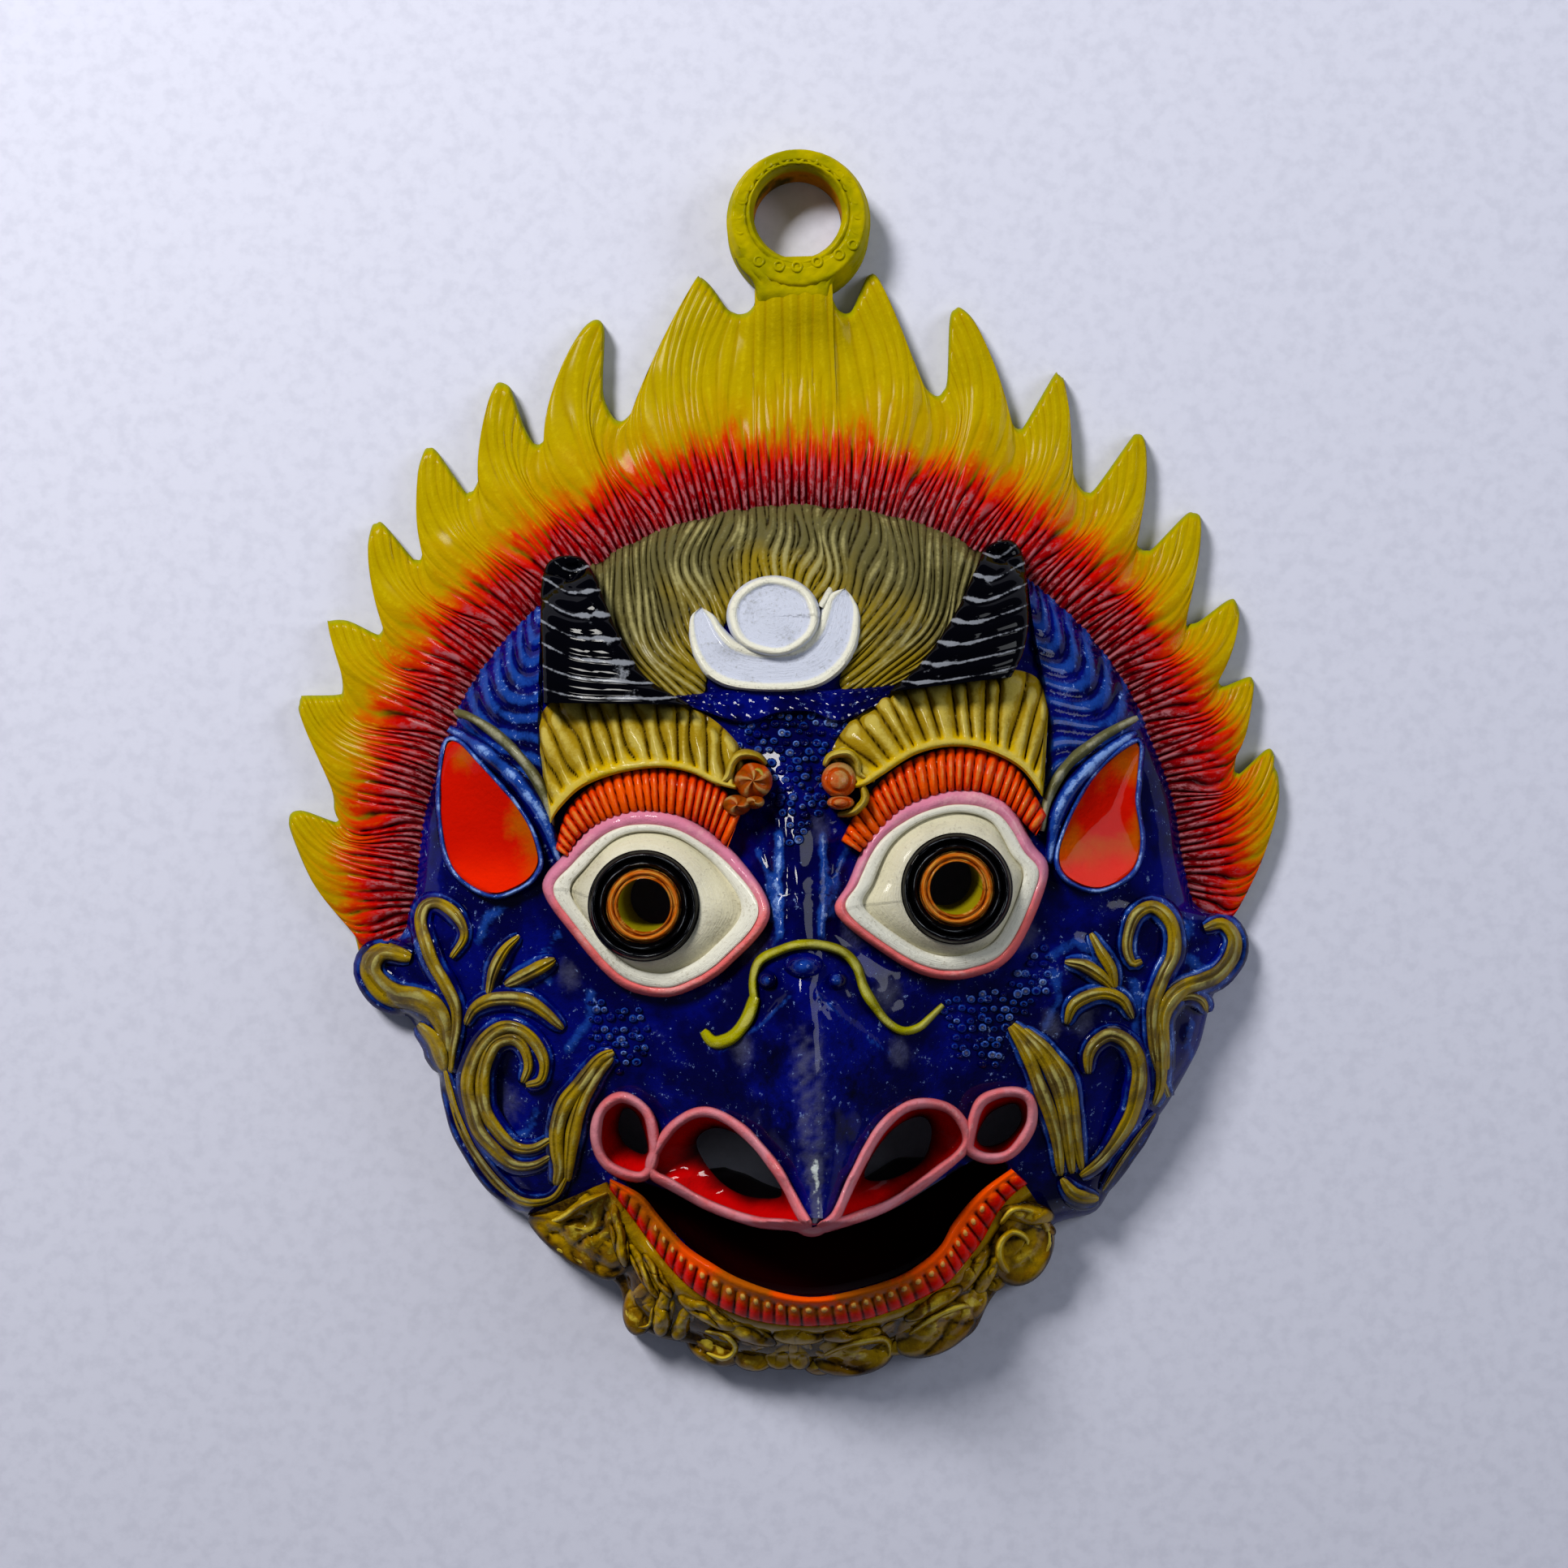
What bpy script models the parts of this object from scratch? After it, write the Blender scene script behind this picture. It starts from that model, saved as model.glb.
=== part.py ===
"""A cast wall mask: a horned, beaked guardian bird in a crown of flames.

One hollow casting that lies on its flat back. +Z is out of the face, +Y runs
up to the hanging ring and +X to the right of the picture. Metres.
"""
import math

import bmesh
import bpy
import numpy as np

# Driving dimensions
MASK_HEIGHT = 0.300
WALL = 0.0032
BACK_RIM = 0.0050
CHEEK_EDGE = 0.0055
DOME_RISE = 0.0350
BEAK_HEIGHT = 0.0320
JAW_HEIGHT = 0.0150
FLAME_TIP_THICKNESS = 0.0050
FLAME_ROOT_THICKNESS = 0.0110
RING_OUTER_DIAMETER = 0.0350
RING_BORE = 0.0215
RING_THICKNESS = 0.0120
PUPIL_BORE = 0.0122
PUPIL_SPLAY = math.radians(12)
IRIS_DIAMETER = 0.0271
IRIS_RISE = 0.0105
IRIS_EDGE = 0.0085
EYE_RISE = 0.0075
EYE_EDGE = 0.0030
LID_RISE = 0.0048
SUN_WIDTH = 0.0235
SUN_HEIGHT = 0.0198
SUN_RISE = 0.0056
SUN_EDGE = 0.0048
MOON_RISE = 0.0040
HAIR_RISE = 0.0018
HAIR_STRAND_RISE = 0.0014
HORN_RISE = 0.0120
BROW_RISE = 0.0080
LASH_RISE = 0.0065
KNOB_DIAMETER = 0.0097
KNOB_RISE = 0.0105
KNOB_EDGE = 0.0070
EAR_RISE = 0.0060
EAR_EDGE = 0.0010
EAR_RIDGE_WIDTH = 0.0044
EAR_RIDGE_RISE = 0.0045
SCROLL_WIDTH = 0.0049
SCROLL_RISE = 0.0042
CERE_WIDTH = 0.0036
CERE_RISE = 0.0030
RIM_WIDTH = 0.0034
RIM_RISE = 0.0030
LIP_RISE = 0.0052
BEARD_WIDTH = 0.0093
BEARD_RISE = 0.0060
FLAME_BULGE = 0.0032
LAST_FLAME_BULGE = 0.0069

# Patterns and the fineness of the solid
FLAME_COLUMNS = 12
HAIR_STRANDS = 13
HORN_BANDS = 7
BROW_RIBS = 9
LIP_RIBS = 30
SCULPT_GRAIN = 0.0009
FACE_BUDGET = 7800

# The front view is drawn on a square sheet of 1932 units, x to the right and
# y down, as an eye sees it from SIGHT_DISTANCE straight above SIGHT_FOOT.
SIGHT_FOOT = (966, 966)
SIGHT_DISTANCE = 0.450
DRAWN_TOP = 180
DRAWN_FOOT = 1697
DRAWN_LEAN = math.radians(1.3)
UNIT = MASK_HEIGHT / (DRAWN_FOOT - DRAWN_TOP) * SIGHT_DISTANCE / (SIGHT_DISTANCE - 0.010)
MIDDLE = (-0.0002, 0.0041)

# The head is round; the crown springs from its border
HEAD = (985, 1100)
HEAD_RADIUS = 480
HEAD_OVERLAP = 16
RING = (984, 268)
BEAK_LEAN = 0.055
BEAK_STATIONS = (900, 1050, 1180, 1320, 1450, 1505, 1530)
BEAK_RIDGE = (0, 0.28, 0.52, 0.88, 1.12, 1.02, 0)
BEAK_HALF_WIDTH = (70, 100, 170, 235, 230, 160, 120)
JAW = (1000, 1575)
JAW_REACH = (270, 125)
FACE_OUTLINE = (
    (505, 1100), (520, 985), (569, 860), (645, 761), (745, 684), (862, 636), (985, 620),
    (1108, 636), (1225, 684), (1325, 761), (1401, 860), (1450, 975), (1464, 1060), (1468, 1112),
    (1502, 1130), (1527, 1162), (1491, 1240), (1489, 1290), (1440, 1370), (1360, 1490), (1303, 1512),
    (1256, 1576), (1187, 1650), (1060, 1686), (985, 1678), (890, 1670), (800, 1638),
    (755, 1580), (650, 1508), (600, 1468), (560, 1418), (530, 1330), (497, 1248),
    (446, 1200), (460, 1176), (500, 1158),
)


def drawn(size):
    """A length in drawing units."""
    return size / UNIT


def place(x, y, z):
    """The point at height z that the eye sees at (x, y) on the drawing."""
    reach = UNIT * (SIGHT_DISTANCE - np.asarray(z, float)) / SIGHT_DISTANCE
    right = (np.asarray(x, float) - SIGHT_FOOT[0]) * reach
    up = (SIGHT_FOOT[1] - np.asarray(y, float)) * reach
    across = right * math.cos(DRAWN_LEAN) + up * math.sin(DRAWN_LEAN)
    along = up * math.cos(DRAWN_LEAN) - right * math.sin(DRAWN_LEAN)
    return across - MIDDLE[0], along - MIDDLE[1]


def smooth_line(points, count, closed=False):
    """`count` points evenly spaced on a smooth curve through a few drawn ones."""
    p = np.array(points, float)
    if closed:
        p = np.vstack((p[-1], p, p[0], p[1]))
    else:
        p = np.vstack((2 * p[0] - p[1], p, 2 * p[-1] - p[-2]))
    t = np.linspace(0, 1, 12, endpoint=False)[:, None]
    spans = []
    for a, b, c, d in zip(p, p[1:], p[2:], p[3:]):
        spans.append(0.5 * (2 * b + (c - a) * t + (2 * a - 5 * b + 4 * c - d) * t ** 2
                            + (3 * b - a - 3 * c + d) * t ** 3))
    line = np.vstack(spans + [p[-2:-1]])
    return evenly(line, count)


def evenly(line, count):
    """The same line with `count` evenly spaced points."""
    gone = np.concatenate(([0], np.cumsum(np.hypot(*np.diff(line, axis=0).T))))
    at = np.linspace(0, gone[-1], count)
    return np.column_stack((np.interp(at, gone, line[:, 0]), np.interp(at, gone, line[:, 1])))


def oval(centre, half_width, half_height):
    """Twelve points round a drawn oval."""
    turn = np.radians(np.arange(0, 360, 30))
    return np.column_stack((centre[0] + half_width * np.cos(turn), centre[1] + half_height * np.sin(turn)))


OUTLINE_LINE = smooth_line(FACE_OUTLINE, 720, closed=True)
OUTLINE_TURN = np.arctan2(OUTLINE_LINE[:, 0] - HEAD[0], HEAD[1] - OUTLINE_LINE[:, 1])
OUTLINE_REACH = np.hypot(OUTLINE_LINE[:, 0] - HEAD[0], OUTLINE_LINE[:, 1] - HEAD[1])
OUTLINE_ORDER = np.argsort(OUTLINE_TURN)
EVEN_TURNS = np.radians(np.arange(-180, 180))
EDGE_REACH = np.interp(EVEN_TURNS, OUTLINE_TURN[OUTLINE_ORDER], OUTLINE_REACH[OUTLINE_ORDER],
                       period=2 * math.pi)
SOFT_REACH = np.mean([np.roll(EDGE_REACH, shift) for shift in range(-16, 17)], axis=0)


def bump(distance, reach):
    """A smooth hill, 1 at distance 0 and 0 from `reach` on."""
    t = np.clip(np.abs(distance) / reach, 0, 1)
    return (1 - t * t) ** 2


def face_height(x, y, inner=False):
    """Height of the bare face above the back plane, seen at (x, y) on the drawing."""
    x = np.asarray(x, float)
    y = np.asarray(y, float)
    turn = np.arctan2(x - HEAD[0], HEAD[1] - y)
    edge = np.interp(turn, EVEN_TURNS, EDGE_REACH, period=2 * math.pi)
    soft = np.interp(turn, EVEN_TURNS, SOFT_REACH, period=2 * math.pi)
    away = np.hypot(x - HEAD[0], y - HEAD[1])
    near_edge = np.clip((away / edge - 0.7) / 0.3, 0, 1) ** 2
    r = np.clip(away / (soft + (edge - soft) * near_edge), 0, 1)
    height = CHEEK_EDGE + DOME_RISE * (1 - r * r) ** 0.55
    # the beak: a narrow ridge from the brow to the hooked tip, then a quick fall
    ridge = np.interp(y, BEAK_STATIONS, BEAK_RIDGE)
    width = np.interp(y, BEAK_STATIONS, BEAK_HALF_WIDTH)
    off = np.clip(np.abs(x - HEAD[0] - BEAK_LEAN * (y - HEAD[1])) / width, 0, 1)
    crest = (1 - np.sqrt(off * off + 0.004)) if inner else (1 - np.sqrt(off * off + 0.0015))
    height = height + BEAK_HEIGHT * ridge * np.clip(crest, 0, 1) ** 1.5
    # the jaw under the beak
    off = np.hypot((x - JAW[0]) / JAW_REACH[0], (y - JAW[1]) / JAW_REACH[1])
    return height + JAW_HEIGHT * bump(off, 1)


class Sculpt:
    """All the wax that the casting is moulded from, piece laid on piece."""

    def __init__(self):
        self.bm = bmesh.new()

    def lay(self, columns, rows, closed, surface, filled=False):
        """Lay a slab: surface(along, across, top) gives its x, y, z.

        A closed slab goes all round, and a filled one meets at its middle too.
        """
        piece = bmesh.new()
        bmesh.ops.create_grid(piece, x_segments=columns, y_segments=rows, size=0.5)
        along = piece.verts.layers.float.new("along")
        across = piece.verts.layers.float.new("across")
        for vert in piece.verts:
            vert[along] = vert.co.x + 0.5
            vert[across] = vert.co.y + 0.5
        if closed:
            turn = 2 * math.pi
            for vert in piece.verts:
                ring = vert[across] + (0 if filled else 1)
                vert.co = (ring * math.cos(turn * vert[along]), ring * math.sin(turn * vert[along]), 0)
            bmesh.ops.remove_doubles(piece, verts=piece.verts[:], dist=1e-5)
        raised = bmesh.ops.extrude_face_region(piece, geom=piece.faces[:])
        tops = {item for item in raised["geom"] if isinstance(item, bmesh.types.BMVert)}
        verts = piece.verts[:]
        s = np.array([vert[along] for vert in verts])
        t = np.array([vert[across] for vert in verts])
        top = np.array([vert in tops for vert in verts])
        for vert, point in zip(verts, np.column_stack(surface(s, t, top))):
            vert.co = point
        bmesh.ops.recalc_face_normals(piece, faces=piece.faces[:])
        if piece.calc_volume(signed=True) < 0:
            bmesh.ops.reverse_faces(piece, faces=piece.faces[:])
        mesh = bpy.data.meshes.new("wax")
        piece.to_mesh(mesh)
        piece.free()
        self.bm.from_mesh(mesh)
        bpy.data.meshes.remove(mesh)

    def strip(self, edge_a, edge_b, rows, rise, sink=0.002, closed=False, ground=face_height):
        """A moulding between two drawn edges, `rise(s, t)` above the face."""
        knots = np.linspace(0, 1, len(edge_a))

        def surface(s, t, top):
            ax, ay = np.interp(s, knots, edge_a[:, 0]), np.interp(s, knots, edge_a[:, 1])
            bx, by = np.interp(s, knots, edge_b[:, 0]), np.interp(s, knots, edge_b[:, 1])
            x = ax + (bx - ax) * t
            y = ay + (by - ay) * t
            z = ground(x, y) + np.where(top, rise(s, t), -sink)
            return (*place(x, y, z), z)

        self.lay(len(edge_a) - 1, rows, closed, surface)

    def ribbon(self, line, width, height, taper=0.25, rows=4, count=40, **more):
        """A half-round moulding along a drawn line, narrowing to its ends."""
        centre = smooth_line(line, count)
        ahead = np.gradient(centre, axis=0)
        side = np.column_stack((-ahead[:, 1], ahead[:, 0])) / np.hypot(*ahead.T)[:, None]
        ends = np.linspace(0, 1, count)
        swell = taper + (1 - taper) * np.sin(math.pi * ends) ** 0.5
        half = side * (drawn(width) / 2 * swell)[:, None]

        def rise(s, t):
            round_top = np.sqrt(np.clip(1 - (2 * t - 1) ** 2, 0, 1))
            return height * round_top * np.interp(s, ends, swell)

        self.strip(centre - half, centre + half, rows, rise, **more)

    def cushion(self, outline, height, count=36, rows=5, edge=0.0, power=0.5, sink=0.002):
        """A filled outline that swells to its middle."""
        rim = smooth_line(outline, count + 1, closed=True)
        middle = rim[:-1].mean(axis=0)

        def surface(s, t, top):
            knots = np.linspace(0, 1, len(rim))
            x = middle[0] + (np.interp(s, knots, rim[:, 0]) - middle[0]) * t
            y = middle[1] + (np.interp(s, knots, rim[:, 1]) - middle[1]) * t
            rise = edge + (height - edge) * (1 - t * t) ** power
            z = face_height(x, y) + np.where(top, rise, -sink)
            return (*place(x, y, z), z)

        self.lay(count, rows, True, surface, filled=True)


# Crown of flames: where each tip stands and each notch falls, from the ring
# outwards, on both sides. The strands rise square from the head's border.
TIPS_LEFT = ((864, 343), (736, 393), (618, 471), (527, 552), (464, 644), (406, 765), (371, 858), (362, 1000))
NOTCHES_LEFT = ((917, 387), (767, 521), (666, 549), (582, 607), (515, 688), (471, 783), (421, 856),
                (418, 1013), (443, 1174))
TIPS_RIGHT = ((1076, 336), (1181, 378), (1303, 460), (1404, 535), (1475, 632), (1522, 737), (1540, 835),
              (1566, 925))
NOTCHES_RIGHT = ((1046, 386), (1156, 489), (1257, 528), (1337, 606), (1410, 678), (1465, 768),
                 (1506, 845), (1524, 954), (1519, 1132))
NECK_END = ((924, 362), (938, 342), (960, 334), (984, 332), (1008, 333), (1026, 340), (1038, 360))


def bent(start, end, bulge, count):
    """A drawn edge from start to end that bows out sideways by about half of `bulge` metres."""
    start, end = np.array(start, float), np.array(end, float)
    ahead = (end - start) / np.hypot(*(end - start))
    control = (start + end) / 2 + drawn(bulge) * np.array((ahead[1], -ahead[0]))
    t = np.linspace(0, 1, count)[:, None]
    return (1 - t) ** 2 * start + 2 * t * (1 - t) * control + t ** 2 * end


def foot_turn(point):
    """The angle on the head's border that a notch's strands rise from."""
    turn = math.degrees(math.atan2(point[0] - HEAD[0], HEAD[1] - point[1]))
    return max(-96.5, min(92.5, turn * 1.04))


def flame_strands(tips, notches, hand):
    """Crown strip on one side: each column's outer end and the border angle it starts at."""
    outer, turns = [], []
    half = FLAME_COLUMNS // 2
    for number, (tip, first, last) in enumerate(zip(tips, notches, notches[1:])):
        end_bulge = LAST_FLAME_BULGE if number == len(tips) - 1 else FLAME_BULGE
        up = bent(first, tip, hand * FLAME_BULGE * 0.7, half + 1)
        down = bent(tip, last, -hand * end_bulge, half + 1)
        outer.extend(list(up[:-1]) + list(down[:-1]))
        turns.extend(np.linspace(foot_turn(first), foot_turn(last), 2 * half, endpoint=False))
    outer.append(notches[-1])
    turns.append(foot_turn(notches[-1]))
    return np.array(outer), np.array(turns)


def flame_body(t):
    """Thickness of the crown from the head's border, t = 0, to the flame tips."""
    return FLAME_TIP_THICKNESS + (FLAME_ROOT_THICKNESS - FLAME_TIP_THICKNESS) * (1 - t) ** 1.5


def neck_body(t):
    """Thickness of the neck, which swells again to carry the ring."""
    return flame_body(np.minimum(t, 0.8)) + 0.85 * (RING_THICKNESS - FLAME_TIP_THICKNESS) * t ** 5


def crown_surface(outer, turns, columns_a_strand, body):
    """Surface of a crown strip whose strands bend from square off the border up to their ends."""
    knots = np.linspace(0, 1, len(outer))

    def surface(s, t, top):
        turn = np.radians(np.interp(s, knots, turns))
        ex, ey = np.interp(s, knots, outer[:, 0]), np.interp(s, knots, outer[:, 1])
        fx = HEAD[0] + (HEAD_RADIUS - HEAD_OVERLAP) * np.sin(turn)
        fy = HEAD[1] - (HEAD_RADIUS - HEAD_OVERLAP) * np.cos(turn)
        length = np.hypot(ex - fx, ey - fy)
        cx = fx + 0.5 * length * np.sin(turn)
        cy = fy - 0.5 * length * np.cos(turn)
        x = (1 - t) ** 2 * fx + 2 * t * (1 - t) * cx + t ** 2 * ex
        y = (1 - t) ** 2 * fy + 2 * t * (1 - t) * cy + t ** 2 * ey
        strand = np.abs(np.sin(math.pi * s * (len(outer) - 1) / columns_a_strand))
        z = np.where(top, body(t) * (0.82 + 0.18 * strand), -0.001)
        return (*place(x, y, z), z)

    return surface


# Hair, moon and sun, horns
HAIR_FOOT = ((815, 852), (842, 800), (880, 735), (953, 700), (1025, 712), (1060, 770), (1108, 848))
HAIR_TOP = ((722, 688), (777, 660), (838, 635), (920, 617), (990, 612), (1045, 625), (1110, 625), (1180, 645),
            (1212, 684))
SUN = (953, 759)
MOON_OUTER = ((864, 750), (850, 778), (853, 812), (872, 838), (915, 850), (990, 850), (1032, 832), (1056, 790),
              (1056, 752), (1039, 726))
MOON_INNER = ((864, 750), (880, 772), (896, 796), (922, 815), (955, 822), (985, 815), (1008, 796), (1020, 770),
              (1024, 745), (1039, 726))
HORN_LEFT = (((700, 682), (676, 700), (668, 750), (666, 800), (668, 856)),
             ((700, 682), (728, 702), (745, 735), (768, 780), (806, 850)))
HORN_RIGHT = (((1235, 666), (1210, 690), (1192, 725), (1165, 775), (1120, 838)),
              ((1235, 666), (1256, 690), (1264, 735), (1266, 785), (1264, 832)))

# Brows, lash bands, scroll knobs
BROW_LEFT = (((668, 870), (700, 852), (757, 851), (824, 860), (870, 883), (904, 909), (922, 940)),
             ((682, 1014), (706, 978), (752, 956), (801, 946), (847, 953), (881, 970), (915, 966)))
BROW_RIGHT = (((1290, 848), (1262, 824), (1190, 830), (1121, 842), (1076, 868), (1040, 900), (1022, 930)),
              ((1270, 968), (1247, 942), (1212, 926), (1170, 920), (1128, 931), (1086, 960), (1050, 962)))
LASH_LEFT = (((684, 1036), (697, 1000), (736, 970), (778, 957), (824, 958), (870, 976), (896, 992)),
             ((700, 1040), (716, 1022), (748, 1004), (789, 994), (835, 1000), (868, 1014), (892, 1028)))
LASH_RIGHT = (((1050, 1028), (1066, 1004), (1100, 962), (1140, 940), (1190, 930), (1240, 950), (1281, 1010)),
              ((1058, 1040), (1074, 1022), (1100, 994), (1140, 976), (1190, 968), (1236, 980), (1275, 1026)))
KNOBS = ((927, 962), (1033, 960))

# Eyes
EYE_LEFT = ((668, 1094), (694, 1053), (740, 1008), (792, 995), (850, 1008), (911, 1057), (949, 1126),
            (900, 1189), (857, 1218), (813, 1229), (760, 1212), (705, 1152))
EYE_RIGHT = ((1030, 1126), (1045, 1087), (1075, 1024), (1125, 985), (1186, 970), (1240, 986), (1272, 1038),
             (1292, 1078), (1251, 1174), (1200, 1204), (1145, 1204), (1090, 1176))
IRIS_LEFT = (793, 1116)
IRIS_RIGHT = (1179, 1095)
LID_INNER = 0.86

# Ears
EAR_LEFT = ((545, 910), (583, 948), (627, 990), (656, 1032), (662, 1081), (612, 1103), (560, 1075), (541, 1020),
            (541, 955))
EAR_RIGHT = ((1402, 915), (1404, 957), (1400, 990), (1408, 1040), (1394, 1078), (1350, 1098), (1308, 1074),
             (1310, 1034), (1346, 957))
EAR_RIDGES = (((560, 876), (622, 922), (655, 962), (676, 1005)), ((1388, 908), (1335, 940), (1300, 985), (1286, 1025)))

# Cheek scrolls
SCROLLS = (
    ((567, 1165), (566, 1135), (543, 1111), (522, 1128), (523, 1159), (545, 1210), (555, 1252), (547, 1300),
     (561, 1370), (596, 1432), (645, 1480), (685, 1470), (703, 1420), (713, 1353), (748, 1300)),
    ((640, 1331), (652, 1296), (620, 1277), (586, 1302), (582, 1350), (606, 1405), (645, 1424), (690, 1400)),
    ((575, 1262), (600, 1238), (645, 1231), (693, 1270)),
    ((500, 1192), (470, 1182), (452, 1200), (480, 1226), (537, 1246)),
    ((512, 1270), (534, 1272), (546, 1330)),
    ((602, 1226), (608, 1194), (620, 1160)),
    ((628, 1216), (656, 1206), (683, 1184)),
    ((1394, 1182), (1393, 1145), (1420, 1118), (1447, 1150), (1440, 1190), (1422, 1240), (1430, 1310), (1436, 1350)),
    ((1345, 1322), (1343, 1290), (1375, 1276), (1403, 1315), (1400, 1370), (1362, 1430), (1330, 1452)),
    ((1478, 1147), (1504, 1137), (1518, 1174), (1490, 1206), (1440, 1246)),
    ((1447, 1246), (1470, 1236), (1486, 1262)),
    ((1315, 1262), (1335, 1236), (1375, 1234), (1394, 1256)),
    ((1245, 1271), (1295, 1302), (1320, 1360), (1322, 1432)),
    ((1262, 1302), (1290, 1350), (1307, 1447), (1340, 1484), (1362, 1480)),
    ((1312, 1188), (1340, 1198), (1366, 1216)),
    ((1345, 1150), (1356, 1184), (1372, 1214)),
)
CERE_LINE = ((866, 1264), (880, 1291), (912, 1270), (928, 1240), (932, 1192), (962, 1170), (1000, 1163),
             (1040, 1180), (1062, 1212), (1080, 1246), (1116, 1274), (1132, 1248), (1162, 1238))

# Openings in the upper jaw, each with its rolled rim, and the mouth
CORNER_LEFT = ((806, 1425), (797, 1372), (765, 1350), (738, 1370), (733, 1410), (752, 1441), (794, 1452))
CORNER_RIGHT = ((1187, 1420), (1204, 1370), (1240, 1343), (1272, 1362), (1268, 1408), (1230, 1428))
ARCH_LEFT = ((806, 1422), (828, 1386), (870, 1370), (915, 1392), (955, 1438), (985, 1494), (1001, 1512))
ARCH_RIGHT = ((1196, 1392), (1170, 1361), (1124, 1358), (1085, 1390), (1052, 1452), (1030, 1503), (1004, 1514))
LOWER_RIM = ((794, 1450), (829, 1459), (875, 1490), (930, 1508), (975, 1508), (1001, 1518), (1025, 1510), (1060, 1498),
             (1100, 1486), (1150, 1450), (1195, 1420))
CORNER_RIM_SHARE = 0.18
OPENINGS = {
    "left_nostril": ((858, 1408), (880, 1388), (915, 1400), (948, 1440), (960, 1474), (915, 1474), (880, 1452)),
    "right_nostril": ((1066, 1456), (1076, 1422), (1105, 1386), (1140, 1370), (1160, 1395), (1140, 1432),
                      (1100, 1458)),
    "left_corner": ((762, 1388), (770, 1366), (786, 1376), (798, 1412), (792, 1422), (770, 1410)),
    "right_corner": ((1204, 1400), (1220, 1372), (1250, 1360), (1258, 1380), (1240, 1404), (1214, 1412)),
    "mouth": ((766, 1462), (800, 1466), (850, 1490), (930, 1522), (1001, 1532), (1070, 1516), (1150, 1474),
              (1216, 1440), (1232, 1450), (1196, 1486), (1160, 1534), (1100, 1574), (1000, 1594), (900, 1574),
              (838, 1524), (800, 1484)),
}

# Lower lip, between its upper and lower edge, and the curled beard
LIP = (((752, 1452), (805, 1484), (851, 1536), (916, 1582), (984, 1598), (1060, 1589), (1129, 1562), (1171, 1521),
        (1205, 1468), (1240, 1446)),
       ((750, 1466), (785, 1508), (835, 1571), (893, 1610), (961, 1631), (1049, 1630), (1118, 1608), (1175, 1569),
        (1212, 1516), (1262, 1466)))
BEARD_LOCKS = (
    ((650, 1500), (700, 1540), (750, 1570), (742, 1520), (770, 1505)),
    ((768, 1512), (775, 1570), (800, 1628), (840, 1640), (838, 1600)),
    ((806, 1560), (850, 1620), (900, 1652), (945, 1658), (925, 1630)),
    ((900, 1622), (960, 1648), (1020, 1648), (1080, 1636)),
    ((985, 1662), (1040, 1670), (1072, 1656), (1050, 1636)),
    ((1090, 1642), (1150, 1640), (1192, 1622), (1170, 1600)),
    ((1150, 1610), (1200, 1590), (1235, 1530), (1270, 1500)),
    ((1215, 1586), (1262, 1566), (1290, 1525), (1262, 1505), (1236, 1530), (1262, 1546)),
)


def half_round(t):
    """Cross-section of a rolled moulding, 0 at both edges and 1 between."""
    return np.sqrt(np.clip(1 - (2 * t - 1) ** 2, 0, 1))


def build_face(wax):
    """The hollow head: domed outside, and inside a ledge and a smaller dome."""
    knots = np.linspace(0, 1, len(OUTLINE_LINE))
    lip_width = BACK_RIM / UNIT

    def surface(s, t, top):
        ox, oy = np.interp(s, knots, OUTLINE_LINE[:, 0]), np.interp(s, knots, OUTLINE_LINE[:, 1])
        reach = np.hypot(ox - HEAD[0], oy - HEAD[1])
        inside = np.minimum(t / 0.92, 1) * (reach - lip_width) / reach
        ledge = (reach - lip_width + (t - 0.92) / 0.08 * lip_width) / reach
        share = np.where(top, t, np.where(t < 0.92, inside, ledge))
        x = HEAD[0] + (ox - HEAD[0]) * share
        y = HEAD[1] + (oy - HEAD[1]) * share
        out = np.minimum(t / 0.92, 1)
        hollow_x = HEAD[0] + (ox - HEAD[0]) * out
        hollow_y = HEAD[1] + (oy - HEAD[1]) * out
        hollow = face_height(hollow_x, hollow_y, inner=True) - WALL - CHEEK_EDGE * out ** 8
        z = np.where(top, face_height(x, y), np.where(t < 0.92, hollow, -0.001))
        return (*place(x, y, z), z)

    wax.lay(150, 40, True, surface, filled=True)


def build_crown(wax):
    """Both sides of the crown, and the neck that carries the ring."""
    for tips, notches, hand in ((TIPS_LEFT, NOTCHES_LEFT, -1), (TIPS_RIGHT, NOTCHES_RIGHT, 1)):
        outer, turns = flame_strands(tips, notches, -hand)
        wax.lay(len(outer) - 1, 12, False, crown_surface(outer, turns, 4, flame_body))
    neck = np.vstack((NOTCHES_LEFT[0], NECK_END, NOTCHES_RIGHT[0]))
    turns = np.linspace(foot_turn(NOTCHES_LEFT[0]), foot_turn(NOTCHES_RIGHT[0]), len(neck))
    wax.lay(len(neck) - 1, 10, False, crown_surface(neck, turns, 2, neck_body))


def build_ring(wax, centre):
    """The hanging ring's body, a flat turned disc; its bore is cut later."""
    radius = RING_OUTER_DIAMETER / 2

    def surface(s, t, top):
        turn = 2 * math.pi * s
        drop = 0.0012 * np.clip((t - 0.85) / 0.15, 0, 1) ** 2
        z = np.where(top, RING_THICKNESS - drop, -0.001)
        return centre[0] + radius * t * np.cos(turn), centre[1] + radius * t * np.sin(turn), z

    wax.lay(48, 8, True, surface, filled=True)


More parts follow.
